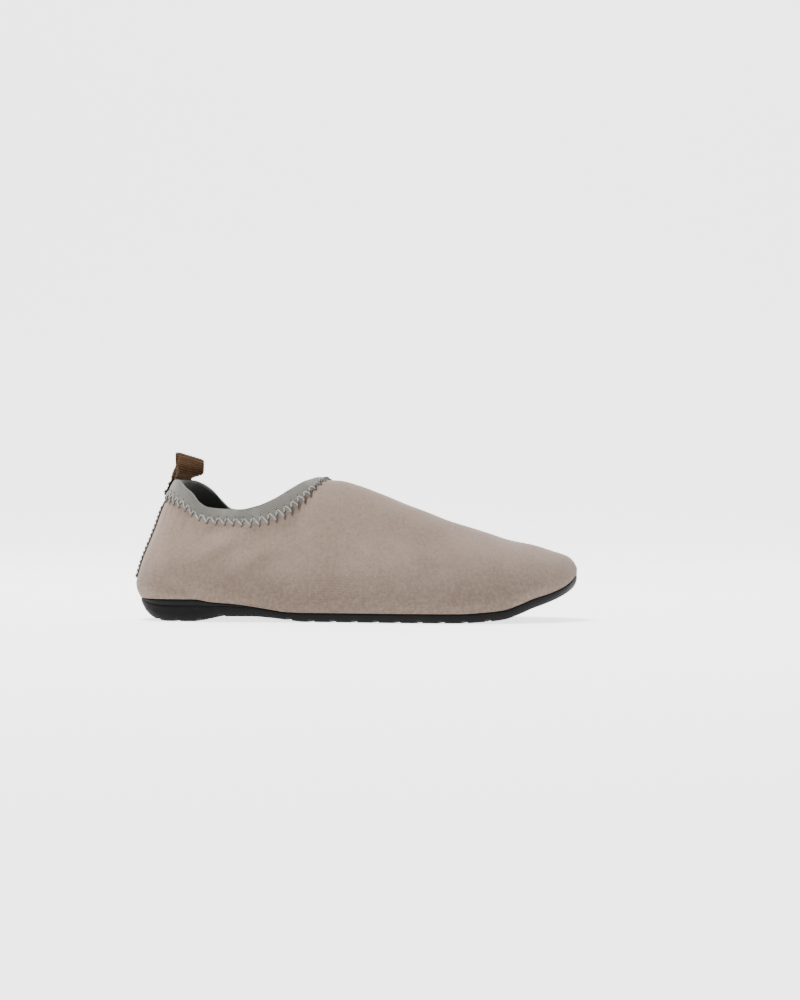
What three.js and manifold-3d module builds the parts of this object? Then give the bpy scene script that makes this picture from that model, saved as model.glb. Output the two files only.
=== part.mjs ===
import * as THREE from 'three';
import { mergeVertices } from 'three/addons/utils/BufferGeometryUtils.js';
import Module from 'manifold-3d';

// A slip-on water shoe for the right foot, empty, standing on its sole.
// Millimetres, +X towards the toe, +Z up, -Y the outer (lateral) side.
// Stations run from 0 at the back of the sole to SOLE_LENGTH at its tip.

const wasm = await Module();
wasm.setup();

// Driving sizes of the whole shoe
const SOLE_LENGTH = 252;        // rubber sole, back of the heel to the toe tip
const BALL_WIDTH = 90;          // widest part of the sole
const HEEL_HEIGHT = 81;         // top of the collar at the back
const COLLAR_LOW = 64;          // lowest point of the collar, under the ankle bones
const INSTEP_HEIGHT = 81;       // top of the vamp just in front of the opening
const THROAT_REACH = 101;       // back of the sole to the front end of the opening
const HEEL_LEAN = 20.8;         // how far the back of the collar stands forward of the sole
const LEAN_REACH = 120;         // the lean has died away at this station
const HEEL_ROUND = 30;          // length of the rounded heel end in plan
const TOE_ROUND = 44;           // length of the rounded toe end in plan
const END_POWER = 2.2;          // 2 is an ellipse, more is squarer
const GAP = 0.3;                // clearance between neighbouring pieces

// Stretch fabric upper
const WALL = 2;                 // fabric with its foam backing
const MARGIN = 9;               // lasting margin turned in under the foot
const BULGE = 2.1;              // how far the fabric swells out over the sole's rim
const BULGE_HEIGHT = 9;         // height of that swelling above the rim
const BULGE_FADE = { from: 0.86, to: 0.99 };  // stations where it dies away, shares of SOLE_LENGTH

// Rubber outsole
const HEEL_CUP = 12.4;          // height of the rim at the heel
const TOE_SPRING = 20;          // lift of the sole's underside at the tip
const ARCH_LIFT = 2.8;          // lift of the underside at the waist
const HEEL_ROLL = 9.5;          // lift of the underside at the very back
const HEEL_ROLL_LENGTH = 19;    // the back edge rolls up over this length
const HEEL_ROLL_POWER = 2.3;    // how sharply it does so
const HEEL_DISH = 0.62;         // share of that roll that the foot bed follows
const RIM = 1.8;                // thickness of the upright rim
const FLOOR = 5;                // sole thickness under the heel, lugs included
const EDGE_ROUND = 3.2;         // rounding of the lower side edge
const LUG_DEPTH = 1.4;          // depth of the tread grooves
const GROOVE_WIDTH = 3.2;       // width of a tread groove
const GROOVE_PITCH = 13;        // distance from one groove to the next
const GROOVE_ANGLE = 14;        // sweep of a groove from square across, in degrees
const GROOVE_REACH = 0.7;       // length of a groove's arm as a share of BALL_WIDTH
const HEEL_TREAD = { first: 18.6, count: 4 };
const FRONT_TREAD = { first: 96, count: 10 };

// Foam insole, and its edge from the bottom up: inset in millimetres, height as a share
// of the thickness
const INSOLE_THICKNESS = 3;
const INSOLE_EDGE = [
  { inset: 1.4, height: 0.00 },
  { inset: 0.1, height: 0.30 },
  { inset: 0.0, height: 0.83 },
  { inset: 0.5, height: 1.00 },
];

// Folded elastic binding round the opening
const BINDING_WIDTH = 8;        // depth of each leg below the folded edge
const TAPE = 0.8;               // thickness of the elastic
const BINDING_GAP = 0.5;        // clearance to the fabric that it wraps

// Tape down the seam at the back of the heel
const HEEL_TAPE = { width: 9, thickness: 1.1, bottom: 24 };

// Webbing pull loop sewn to the collar, its middle `offset` from the heel seam. Its bow
// stands `rise` above the collar and opens to about `depth`. As it rises it settles into a
// straight stand, `ahead` of the seam and `beside` it, at a `heading` from +X in degrees
const LOOP = {
  width: 15.5, thickness: 1.4, tail: 9, offset: 11, rise: 13.4, depth: 10.5, slump: 0.3,
  ahead: 5.0, beside: 15.5, heading: 16,
};
const BOW = { round: 1.5, spread: 0.62, belly: 0.55, shoulder: 0.8, settled: 0.5 };

// Bevels inside the sections
const RIM_BEVEL = 0.3;          // outer edge of the sole's rim
const BED_BEVEL = 0.5;          // foot of the rim on the foot bed
const PAD_BEVEL = 0.4;          // edge of the sole's pad that fills the upper's opening
const TUCK_BEVEL = 0.8;         // corner where the upper turns in under the foot
const FOLD = { near: 0.3, far: 0.7, flat: 0.2 };  // rounding of the folded binding, shares

// Steps round the shoe and up its wall
const REAR_STEPS = 20;
const FRONT_STEPS = 21;
const WALL_ROWS = 12;
const FOOT_CROWDING = 1.3;      // crowds the rows towards the sole
const CROWN_CROWDING = 1.5;     // crowds the rows towards the crown
const STRIP_STEPS = 6;          // across the heel tape and the webbing
const TAPE_ROWS = 14;
const LOOP_STEPS = { tail: 4, bow: 22 };
const HALVINGS = 30;

// Plan outline: centre line and half width, both as shares of BALL_WIDTH
const PLAN = [
  { at: 0.00, centre: 0.000, half: 0.335 },
  { at: 0.15, centre: 0.000, half: 0.345 },
  { at: 0.25, centre: -0.012, half: 0.338 },
  { at: 0.35, centre: -0.030, half: 0.333 },
  { at: 0.45, centre: -0.040, half: 0.360 },
  { at: 0.55, centre: -0.035, half: 0.420 },
  { at: 0.65, centre: -0.015, half: 0.475 },
  { at: 0.73, centre: 0.005, half: 0.500 },
  { at: 0.80, centre: 0.030, half: 0.493 },
  { at: 0.87, centre: 0.065, half: 0.460 },
  { at: 0.94, centre: 0.100, half: 0.420 },
  { at: 1.00, centre: 0.125, half: 0.400 },
];

// Top of each section as a share of INSTEP_HEIGHT, its sideways offset from the
// centre line as a share of BALL_WIDTH, and the fullness of its shoulders. Behind
// the throat the top is where the two walls would meet if the opening were closed.
const CROWN = [
  { at: 0.000, top: 1.330, offset: 0.000, fullness: 1.00 },
  { at: 0.080, top: 1.320, offset: 0.000, fullness: 1.00 },
  { at: 0.160, top: 1.305, offset: 0.000, fullness: 1.00 },
  { at: 0.240, top: 1.260, offset: 0.000, fullness: 0.97 },
  { at: 0.317, top: 1.135, offset: 0.005, fullness: 0.88 },
  { at: 0.360, top: 1.050, offset: 0.010, fullness: 0.83 },
  { at: 0.400, top: 1.000, offset: 0.015, fullness: 0.80 },
  { at: 0.460, top: 0.993, offset: 0.025, fullness: 0.80 },
  { at: 0.500, top: 0.960, offset: 0.035, fullness: 0.81 },
  { at: 0.560, top: 0.890, offset: 0.050, fullness: 0.83 },
  { at: 0.630, top: 0.802, offset: 0.065, fullness: 0.85 },
  { at: 0.700, top: 0.717, offset: 0.075, fullness: 0.87 },
  { at: 0.770, top: 0.645, offset: 0.075, fullness: 0.89 },
  { at: 0.840, top: 0.576, offset: 0.065, fullness: 0.91 },
  { at: 0.900, top: 0.529, offset: 0.050, fullness: 0.94 },
  { at: 0.950, top: 0.486, offset: 0.030, fullness: 0.97 },
  { at: 0.980, top: 0.450, offset: 0.015, fullness: 1.00 },
  { at: 0.992, top: 0.415, offset: 0.005, fullness: 1.00 },
  { at: 1.000, top: 0.370, offset: 0.000, fullness: 1.00 },
];

// Outsole along its length: rim height as a share of HEEL_CUP, the arch and the toe
// spring of its underside, and its floor thickness as a share of FLOOR
const SOLE = [
  { at: 0.000, rim: 1.00, arch: 0.00, spring: 0.00, floor: 1.00 },
  { at: 0.137, rim: 1.00, arch: 0.00, spring: 0.00, floor: 1.00 },
  { at: 0.177, rim: 0.87, arch: 0.60, spring: 0.00, floor: 0.86 },
  { at: 0.195, rim: 0.84, arch: 0.93, spring: 0.00, floor: 0.78 },
  { at: 0.227, rim: 0.79, arch: 1.00, spring: 0.00, floor: 0.66 },
  { at: 0.270, rim: 0.68, arch: 1.00, spring: 0.00, floor: 0.60 },
  { at: 0.318, rim: 0.52, arch: 0.72, spring: 0.00, floor: 0.60 },
  { at: 0.345, rim: 0.44, arch: 0.42, spring: 0.00, floor: 0.62 },
  { at: 0.390, rim: 0.405, arch: 0.00, spring: 0.00, floor: 0.66 },
  { at: 0.740, rim: 0.41, arch: 0.00, spring: 0.00, floor: 0.66 },
  { at: 0.800, rim: 0.42, arch: 0.00, spring: 0.04, floor: 0.66 },
  { at: 0.840, rim: 0.42, arch: 0.00, spring: 0.10, floor: 0.65 },
  { at: 0.870, rim: 0.42, arch: 0.00, spring: 0.225, floor: 0.64 },
  { at: 0.900, rim: 0.42, arch: 0.00, spring: 0.385, floor: 0.62 },
  { at: 0.940, rim: 0.385, arch: 0.00, spring: 0.565, floor: 0.60 },
  { at: 0.970, rim: 0.36, arch: 0.00, spring: 0.74, floor: 0.56 },
  { at: 0.985, rim: 0.38, arch: 0.00, spring: 0.86, floor: 0.56 },
  { at: 1.000, rim: 0.50, arch: 0.00, spring: 1.00, floor: 0.60 },
];

// Lower side edge of the outsole: inset as a share of EDGE_ROUND, height as a share of
// the rounding's own height, which takes at most EDGE_SHARE of the side
const SOLE_EDGE = [
  { inset: 3.00, height: 0.00 },
  { inset: 1.00, height: 0.00 },
  { inset: 0.35, height: 0.30 },
  { inset: 0.10, height: 0.75 },
  { inset: 0.00, height: 1.30 },
];
const EDGE_SHARE = 0.6;

// Folded edge of the opening from heel to throat: its rise above COLLAR_LOW on each side
// as a share of the rise at that end, and how much of the band lies down the section
const COLLAR = [
  { at: 0.00, lateral: 1.00, medial: 1.00, band: 1.35 },
  { at: 0.03, lateral: 1.00, medial: 1.00, band: 1.35 },
  { at: 0.07, lateral: 0.93, medial: 1.00, band: 1.33 },
  { at: 0.125, lateral: 0.78, medial: 0.97, band: 1.30 },
  { at: 0.20, lateral: 0.585, medial: 0.85, band: 1.25 },
  { at: 0.275, lateral: 0.28, medial: 0.65, band: 1.18 },
  { at: 0.36, lateral: 0.075, medial: 0.30, band: 1.05 },
  { at: 0.445, lateral: 0.02, medial: 0.00, band: 1.02 },
  { at: 0.57, lateral: 0.00, medial: -0.08, band: 1.00 },
  { at: 0.67, lateral: 0.11, medial: 0.03, band: 0.97 },
  { at: 0.77, lateral: 0.34, medial: 0.27, band: 0.90 },
  { at: 0.88, lateral: 0.72, medial: 0.69, band: 0.66 },
  { at: 0.945, lateral: 0.92, medial: 0.91, band: 0.38 },
  { at: 1.00, lateral: 1.00, medial: 1.00, band: 0.00 },
];

// Back line of the heel: height as a share of HEEL_HEIGHT, lean as a share of HEEL_LEAN
const HEEL_LINE = [
  { at: 0.00, lean: 0.000 },
  { at: 0.15, lean: 0.000 },
  { at: 0.26, lean: -0.038 },
  { at: 0.33, lean: 0.019 },
  { at: 0.44, lean: 0.120 },
  { at: 0.58, lean: 0.313 },
  { at: 0.67, lean: 0.442 },
  { at: 0.79, lean: 0.605 },
  { at: 0.91, lean: 0.827 },
  { at: 1.00, lean: 1.000 },
  { at: 1.35, lean: 1.600 },
];

const clamp = THREE.MathUtils.clamp;
const smooth = THREE.MathUtils.smoothstep;
const lerp = THREE.MathUtils.lerp;

// Smooth curve through a table's column that never overshoots its rows
function tableCurve(table, column) {
  const xs = table.map((row) => row.at);
  const ys = table.map((row) => row[column]);
  const last = xs.length - 1;
  const rise = [];
  for (let i = 0; i < last; i++) rise.push((ys[i + 1] - ys[i]) / (xs[i + 1] - xs[i]));
  const slope = xs.map((_, i) => {
    if (i === 0) return rise[0];
    if (i === last) return rise[last - 1];
    if (rise[i - 1] * rise[i] <= 0) return 0;
    return (2 * rise[i - 1] * rise[i]) / (rise[i - 1] + rise[i]);
  });
  return (at) => {
    const x = clamp(at, xs[0], xs[last]);
    let i = 0;
    while (i < last - 1 && x > xs[i + 1]) i++;
    const step = xs[i + 1] - xs[i];
    const t = (x - xs[i]) / step;
    const a = (1 + 2 * t) * (1 - t) ** 2 * ys[i] + t * (1 - t) ** 2 * step * slope[i];
    const b = t * t * (3 - 2 * t) * ys[i + 1] + t * t * (t - 1) * step * slope[i + 1];
    return a + b;
  };
}

const planCentre = tableCurve(PLAN, 'centre');
const planHalf = tableCurve(PLAN, 'half');
const crownTop = tableCurve(CROWN, 'top');
const crownOffset = tableCurve(CROWN, 'offset');
const crownFullness = tableCurve(CROWN, 'fullness');
const soleRim = tableCurve(SOLE, 'rim');
const soleArch = tableCurve(SOLE, 'arch');
const soleSpring = tableCurve(SOLE, 'spring');
const soleFloor = tableCurve(SOLE, 'floor');
const lateralRise = tableCurve(COLLAR, 'lateral');
const medialRise = tableCurve(COLLAR, 'medial');
const collarBand = tableCurve(COLLAR, 'band');
const heelLine = tableCurve(HEEL_LINE, 'lean');

// Heights at station x
const springAt = (x) => TOE_SPRING * soleSpring(x / SOLE_LENGTH);
const rollAt = (x) => HEEL_ROLL * clamp(1 - x / HEEL_ROLL_LENGTH, 0, 1) ** HEEL_ROLL_POWER;
const archAt = (x) => ARCH_LIFT * soleArch(x / SOLE_LENGTH);
const bottomAt = (x) => rollAt(x) + archAt(x) + springAt(x);
const floorAt = (x) => FLOOR * soleFloor(x / SOLE_LENGTH)
  + HEEL_DISH * rollAt(x) + archAt(x) + springAt(x);
const rimAt = (x) => HEEL_CUP * soleRim(x / SOLE_LENGTH) + springAt(x);
const topAt = (x) => INSTEP_HEIGHT * crownTop(x / SOLE_LENGTH);

// Station of a column on a surface that lies `inset` inside the sole's outline
const shifted = (station, inset) => station + inset * (1 - (2 * station) / SOLE_LENGTH);

// Half width at x of the outline lying `inset` inside the sole's outline
function halfWidth(x, inset) {
  const fromHeel = clamp((x - inset) / HEEL_ROUND, 0, 1);
  const fromToe = clamp((SOLE_LENGTH - inset - x) / TOE_ROUND, 0, 1);
  const roundEnd = (share) => (1 - (1 - share) ** END_POWER) ** (1 / END_POWER);
  return (BALL_WIDTH * planHalf(x / SOLE_LENGTH) - inset) * roundEnd(fromHeel) * roundEnd(fromToe);
}

const centreAt = (x) => BALL_WIDTH * planCentre(x / SOLE_LENGTH);

// Point on the outline, side -1 lateral and +1 medial, at a height worked out from x
function outlinePoint(station, side, inset, heightAt) {
  const x = shifted(station, inset);
  return new THREE.Vector3(x, centreAt(x) + side * halfWidth(x, inset), heightAt(x));
}

// Swelling of the fabric over the rim, at `height` above it
function bulgeAt(station, height) {
  const share = height / BULGE_HEIGHT;
  const fade = 1 - smooth(station / SOLE_LENGTH, BULGE_FADE.from, BULGE_FADE.to);
  return BULGE * share * Math.exp(1 - share) * fade;
}

// Point on the upper's surface or a layer `inset` inside it. Each section is an arch:
// theta is 0 at the sole's rim and a right angle on the crown.
function upperPoint(station, side, theta, inset) {
  const foot = rimAt(station) + GAP;
  const swell = bulgeAt(station, (topAt(station) - foot) * Math.sin(theta));
  const x = shifted(station, inset - swell);
  const crown = centreAt(x) + BALL_WIDTH * crownOffset(x / SOLE_LENGTH);
  const edge = centreAt(x) + side * halfWidth(x, inset - swell);
  const spread = Math.max(Math.cos(theta), 0) ** crownFullness(x / SOLE_LENGTH);
  const base = rimAt(x) + GAP;
  const z = base + (topAt(x) - inset - base) * Math.sin(theta);
  const lean = HEEL_LEAN * heelLine(z / HEEL_HEIGHT) * clamp(1 - station / LEAN_REACH, 0, 1) ** 2;
  return new THREE.Vector3(x + lean, lerp(crown, edge, spread), z);
}

// Angle of the folded edge at a share of the way from heel to throat
function edgeAngle(share, side) {
  const x = share * THROAT_REACH;
  const end = share < 0.5 ? HEEL_HEIGHT : INSTEP_HEIGHT;
  const rise = side < 0 ? lateralRise(share) : medialRise(share);
  const height = COLLAR_LOW + (end - COLLAR_LOW) * rise;
  const foot = rimAt(x) + GAP;
  return Math.asin(clamp((height - foot) / (topAt(x) - foot), 0, 1));
}

// Place in the upper's surface that lies `down` below the folded edge
function belowEdge(share, down, side) {
  const station = share * (THROAT_REACH + down);
  const theta = edgeAngle(share, side);
  const height = (topAt(station) - rimAt(station)) * Math.cos(theta);
  const reach = Math.hypot(height, halfWidth(station, 0) * Math.sin(theta));
  return { station, theta: theta - (down * collarBand(share)) / Math.max(reach, BINDING_WIDTH) };
}

// Columns round the shoe: heel, lateral side to the toe, medial side back to the heel
const EDGE_DEPTH = TAPE + BINDING_GAP;
const cosine = (i, steps) => (1 - Math.cos((Math.PI * i) / steps)) / 2;
const columns = [];
const rearColumn = (i, side) => (
  { ...belowEdge(cosine(i, REAR_STEPS), EDGE_DEPTH, side), side });
for (let i = 0; i <= REAR_STEPS; i++) columns.push(rearColumn(i, -1));
for (let i = 1; i <= FRONT_STEPS; i++) {
  const station = lerp(THROAT_REACH + EDGE_DEPTH, SOLE_LENGTH, cosine(i, FRONT_STEPS));
  columns.push({ station, theta: Math.PI / 2, side: -1 });
}
const TOE = columns.length - 1;
for (let i = TOE - 1; i > 0; i--) {
  columns.push(i < REAR_STEPS ? rearColumn(i, 1) : { ...columns[i], side: 1 });
}
const COUNT = columns.length;
const opposite = (column) => (COUNT - column) % COUNT;

// Two triangles for a four-sided face, split along its shorter diagonal; a corner
// named twice leaves one triangle
function face(points, corners, triangles) {
  const [a, b, c, d] = corners;
  const ring = corners.filter((corner, i) => corner !== corners[(i + 1) % 4]);
  if (ring.length === 3) {
    triangles.push(...ring);
  } else if (points[a].distanceTo(points[c]) <= points[b].distanceTo(points[d])) {
    triangles.push(a, b, c, a, c, d);
  } else {
    triangles.push(b, c, d, b, d, a);
  }
}

// Faces between two neighbouring rows of a ring of vertices
function band(points, lower, upper, triangles, skip = () => false) {
  for (let j = 0; j < lower.length; j++) {
    const k = (j + 1) % lower.length;
    if (!skip(j, k)) face(points, [lower[j], lower[k], upper[k], upper[j]], triangles);
  }
}

// Lid across a ring, from the lateral to the medial side; up is false for an underside
function lid(points, ring, up, triangles) {
  for (let i = 0; i < TOE; i++) {
    const corners = [ring[i], ring[i + 1], ring[opposite(i + 1)], ring[opposite(i)]];
    face(points, up ? corners : corners.reverse(), triangles);
  }
}

function indexedGeometry(points, triangles) {
  const geometry = new THREE.BufferGeometry();
  const flat = points.flatMap((point) => [point.x, point.y, point.z]);
  geometry.setAttribute('position', new THREE.Float32BufferAttribute(flat, 3));
  geometry.setIndex(triangles);
  return geometry;
}

// Solid between stacked outlines, each row an inset and a height, lidded at both ends
function stackedOutlines(rows) {
  const points = [];
  const triangles = [];
  const rings = rows.map(({ inset, heightAt }) => columns.map(({ station, side }) => {
    points.push(outlinePoint(station, side, inset, heightAt));
    return points.length - 1;
  }));
  for (let i = 0; i + 1 < rings.length; i++) band(points, rings[i], rings[i + 1], triangles);
  lid(points, rings[0], false, triangles);
  lid(points, rings[rings.length - 1], true, triangles);
  return indexedGeometry(points, triangles);
}

// Share of the way up the wall of a row, with finer steps near the sole and the crown
const rowShare = (t) => lerp(t ** FOOT_CROWDING, 1 - (1 - t) ** CROWN_CROWDING, t);

// The upper: margin under the foot, step over the rim, outer wall, edge, inner wall
function upperGeometry() {
  const tuck = RIM + GAP;
  const underside = (x) => floorAt(x) + GAP;
  const inside = (x) => underside(x) + WALL;
  const cornerTop = (x) => Math.max(rimAt(x) + 2 * GAP, inside(x) + 1.5 * TUCK_BEVEL);
  const outline = (inset, heightAt) => ({ station, side }) => (
    outlinePoint(station, side, inset, heightAt));
  const wall = (row, inset) => ({ station, side, theta }) => (
    upperPoint(station, side, theta * rowShare(row / WALL_ROWS), inset));
  const rows = [
    outline(tuck + MARGIN, underside),
    outline(tuck + TUCK_BEVEL, underside),
    outline(tuck, (x) => underside(x) + TUCK_BEVEL),
    outline(tuck, (x) => rimAt(x) + GAP),
  ];
  for (let row = 0; row <= WALL_ROWS; row++) rows.push(wall(row, 0));
  const outerTop = rows.length - 1;
  for (let row = WALL_ROWS; row >= 2; row--) rows.push(wall(row, WALL));
  rows.push(
    outline(tuck + WALL, cornerTop),
    outline(tuck + WALL, (x) => inside(x) + TUCK_BEVEL),
    outline(tuck + WALL + TUCK_BEVEL, inside),
    outline(tuck + MARGIN, inside),
  );
  const points = [];
  const triangles = [];
  const onCrown = (row) => row === outerTop || row === outerTop + 1;
  const throat = REAR_STEPS;
  const rings = rows.map((place, row) => {
    const ring = [];
    columns.forEach((column, j) => {
      const shared = onCrown(row) && j > TOE && opposite(j) >= throat;
      if (shared) {
        ring.push(ring[opposite(j)]);
      } else {
        points.push(place(column));
        ring.push(points.length - 1);
      }
    });
    return ring;
  });
  const closedFront = (j, k) => {
    const forward = (column) => Math.min(column, opposite(column)) || 0;
    return Math.max(forward(j), forward(k)) > throat;
  };
  rings.forEach((ring, row) => {
    const next = rings[(row + 1) % rings.length];
    band(points, ring, next, triangles, row === outerTop ? closedFront : undefined);
  });
  return indexedGeometry(points, triangles);
}

// Inset of the raised middle of the foot bed, which fills the opening in the margin
const RAISED_EDGE = RIM + GAP + MARGIN + GAP;

// Outsole without its tread: underside, rounded side, rim, foot bed and raised middle
function soleBody() {
  const round = (x) => Math.min(EDGE_ROUND, EDGE_SHARE * (rimAt(x) - bottomAt(x)));
  const raised = (x) => floorAt(x) + GAP + WALL;
  return stackedOutlines([
    ...SOLE_EDGE.map(({ inset, height }) => (
      { inset: inset * EDGE_ROUND, heightAt: (x) => bottomAt(x) + height * round(x) })),
    { inset: 0, heightAt: (x) => rimAt(x) - RIM_BEVEL },
    { inset: RIM_BEVEL, heightAt: rimAt },
    { inset: RIM, heightAt: rimAt },
    { inset: RIM, heightAt: (x) => floorAt(x) + BED_BEVEL },
    { inset: RIM + BED_BEVEL, heightAt: floorAt },
    { inset: RAISED_EDGE, heightAt: floorAt },
    { inset: RAISED_EDGE + PAD_BEVEL, heightAt: raised },
  ]);
}

function toManifold(geometry) {
  let source = geometry.clone();
  source.deleteAttribute('normal');
  source.deleteAttribute('uv');
  source = mergeVertices(source, 1e-4);
  return new wasm.Manifold(new wasm.Mesh({
    numProp: 3,
    vertProperties: new Float32Array(source.attributes.position.array),
    triVerts: new Uint32Array(source.index.array),
  }));
}

function fromManifold(solid) {
  const mesh = solid.getMesh();
  const geometry = new THREE.BufferGeometry();
  geometry.setAttribute('position', new THREE.BufferAttribute(mesh.vertProperties, 3));
  geometry.setIndex(new THREE.BufferAttribute(mesh.triVerts, 1));
  return geometry;
}

// Everything below the roots of the lugs, as one block that follows the underside
function belowLugRoots() {
  const points = [];
  const triangles = [];
  const half = BALL_WIDTH;
  const stations = columns.slice(0, TOE + 1).map(({ station }) => station);
  stations[0] = -BULGE;
  stations[TOE] = SOLE_LENGTH + BULGE;
  stations.forEach((x) => {
    const z = bottomAt(x) + LUG_DEPTH;
    points.push(new THREE.Vector3(x, -half, -half), new THREE.Vector3(x, half, -half),
      new THREE.Vector3(x, half, z), new THREE.Vector3(x, -half, z));
  });
  for (let i = 0; i < TOE; i++) {
    for (let side = 0; side < 4; side++) {
      const a = 4 * i + side;
      const b = 4 * i + ((side + 1) % 4);
      triangles.push(a, b, b + 4, a, b + 4, a + 4);
    }
  }
  triangles.push(0, 2, 1, 0, 3, 2);
  const end = 4 * TOE;
  triangles.push(end, end + 1, end + 2, end, end + 2, end + 3);
  return toManifold(indexedGeometry(points, triangles));
}

// One half of a swept groove, from the centre line out past the side of the sole
function grooveArm(x, side) {
  const length = GROOVE_REACH * BALL_WIDTH;
  const arm = new THREE.BoxGeometry(GROOVE_WIDTH, length, BALL_WIDTH);
  arm.translate(0, (side * length) / 2 - side * GROOVE_WIDTH, 0);
  arm.rotateZ(side * THREE.MathUtils.degToRad(GROOVE_ANGLE));
  arm.translate(x, centreAt(x), 0);
  return toManifold(arm);
}

function outsoleGeometry() {
  let grooves = null;
  for (const { first, count } of [HEEL_TREAD, FRONT_TREAD]) {
    for (let i = 0; i < count; i++) {
      for (const side of [-1, 1]) {
        const arm = grooveArm(first + i * GROOVE_PITCH, side);
        grooves = grooves ? grooves.add(arm) : arm;
      }
    }
  }
  const cutter = grooves.intersect(belowLugRoots());
  return fromManifold(toManifold(soleBody()).subtract(cutter));
}

// Foam sheet on the margin and the raised middle of the sole
function insoleGeometry() {
  const seat = (x) => floorAt(x) + GAP + WALL + GAP;
  const side = RIM + GAP + WALL + 3 * GAP;
  return stackedOutlines([
    { inset: RAISED_EDGE + PAD_BEVEL, heightAt: seat },
    ...INSOLE_EDGE.map(({ inset, height }) => (
      { inset: side + inset, heightAt: (x) => seat(x) + height * INSOLE_THICKNESS })),
  ]);
}

// Ring of points round the opening at `down` below the folded edge, on layer `inset`
function openingRing(down, inset) {
  const ring = [];
  for (let j = 0; j < 2 * REAR_STEPS; j++) {
    const side = j < REAR_STEPS ? -1 : 1;
    const share = cosine(side < 0 ? j : 2 * REAR_STEPS - j, REAR_STEPS);
    const { station, theta } = belowEdge(share, down, side);
    ring.push(upperPoint(station, side, theta, inset));
  }
  return ring;
}

// Elastic tape folded over the top edge of the fabric, one closed loop
function bindingGeometry() {
  const near = BINDING_GAP;
  const far = BINDING_GAP + TAPE;
  const section = [
    [BINDING_WIDTH, -near], [BINDING_WIDTH, -far], [BINDING_WIDTH / 2, -far], [far, -far],
    [FOLD.near * far, -FOLD.far * far], [0, FOLD.flat * WALL], [0, (1 - FOLD.flat) * WALL],
    [FOLD.near * far, WALL + FOLD.far * far],
    [far, WALL + far], [BINDING_WIDTH / 2, WALL + far], [BINDING_WIDTH, WALL + far],
    [BINDING_WIDTH, WALL + near], [BINDING_WIDTH / 2, WALL + near], [TAPE, WALL + near],
    [TAPE, -near], [BINDING_WIDTH / 2, -near],
  ];
  const points = [];
  const rings = section.map(([down, inset]) => openingRing(down, inset).map((point) => {
    points.push(point);
    return points.length - 1;
  }));
  const triangles = [];
  rings.forEach((ring, i) => band(points, ring, rings[(i + 1) % rings.length], triangles));
  return indexedGeometry(points, triangles);
}

// Cross row of a strip: `across` runs down one face from one edge and back up the other
function crossRow(half, place) {
  const row = [];
  for (const face of [1, -1]) {
    for (let i = 0; i <= STRIP_STEPS; i++) {
      row.push(place(face * half * (1 - (2 * i) / STRIP_STEPS), face));
    }
  }
  return row;
}

// Closed strip through its cross rows
function stripGeometry(rows) {
  const points = rows.flat();
  const triangles = [];
  const size = rows[0].length;
  const at = (row, i) => row * size + (i % size);
  const last = rows.length - 1;
  for (let row = 0; row < last; row++) {
    for (let i = 0; i < size; i++) {
      face(points, [at(row, i), at(row, i + 1), at(row + 1, i + 1), at(row + 1, i)], triangles);
    }
  }
  for (let i = 0; i < STRIP_STEPS; i++) {
    const end = [i, i + 1, size - 2 - i, size - 1 - i];
    face(points, end.map((k) => at(0, k)).reverse(), triangles);
    face(points, end.map((k) => at(last, k)), triangles);
  }
  return indexedGeometry(points, triangles);
}

// Tape wrapped across the heel seam, from just below the binding down to its end
function heelTapeGeometry() {
  const edge = belowEdge(0, BINDING_WIDTH, 1);
  const top = upperPoint(0, 1, edge.theta, 0).z - 2 * GAP;
  const rows = [];
  for (let i = 0; i <= TAPE_ROWS; i++) {
    const height = lerp(HEEL_TAPE.bottom, top, i / TAPE_ROWS);
    rows.push(crossRow(HEEL_TAPE.width / 2, (across, face) => (
      heelPoint(height, across, -GAP - (face > 0 ? HEEL_TAPE.thickness : 0)))));
  }
  return stripGeometry(rows);
}

// Point on the back of the heel at a height, `across` from the seam, on layer `inset`
function heelPoint(height, across, inset) {
  const side = across < 0 ? -1 : 1;
  const foot = rimAt(0) + GAP;
  const theta = Math.asin(clamp((height - foot) / (topAt(0) - inset - foot), 0, 1));
  let near = 0;
  let far = HEEL_ROUND;
  for (let i = 0; i < HALVINGS; i++) {
    const middle = (near + far) / 2;
    if (Math.abs(upperPoint(middle, side, theta, inset).y) < Math.abs(across)) near = middle;
    else far = middle;
  }
  return upperPoint(near, side, theta, inset);
}

// Middle line of the webbing: distance out from the heel, and height above the collar.
// It runs up the outer tail, round the bow and down the inner tail, so the two tails lie
// one on the other.
function loopPath() {
  const inner = BINDING_GAP + TAPE + GAP + LOOP.thickness / 2;
  const outer = inner + LOOP.thickness + GAP;
  const path = [];
  const tail = (out, i) => ({ out, up: -LOOP.tail * (1 - i / LOOP_STEPS.tail), sewn: true });
  for (let i = 0; i < LOOP_STEPS.tail; i++) path.push(tail(outer, i));
  for (let i = 0; i <= LOOP_STEPS.bow; i++) {
    const share = i / LOOP_STEPS.bow;
    const turn = Math.PI * share;
    const belly = BOW.belly * Math.sin(turn) ** BOW.round * (share < 0.5 ? 1 : -1);
    const open = (LOOP.depth / 2) * (BOW.spread * Math.sin(2 * turn) + belly);
    const up = LOOP.rise * Math.sin(turn) ** BOW.shoulder;
    path.push({ out: lerp(outer, inner, share) + open, up, sewn: false });
  }
  for (let i = LOOP_STEPS.tail - 1; i >= 0; i--) path.push(tail(inner, i));
  return path;
}

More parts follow.
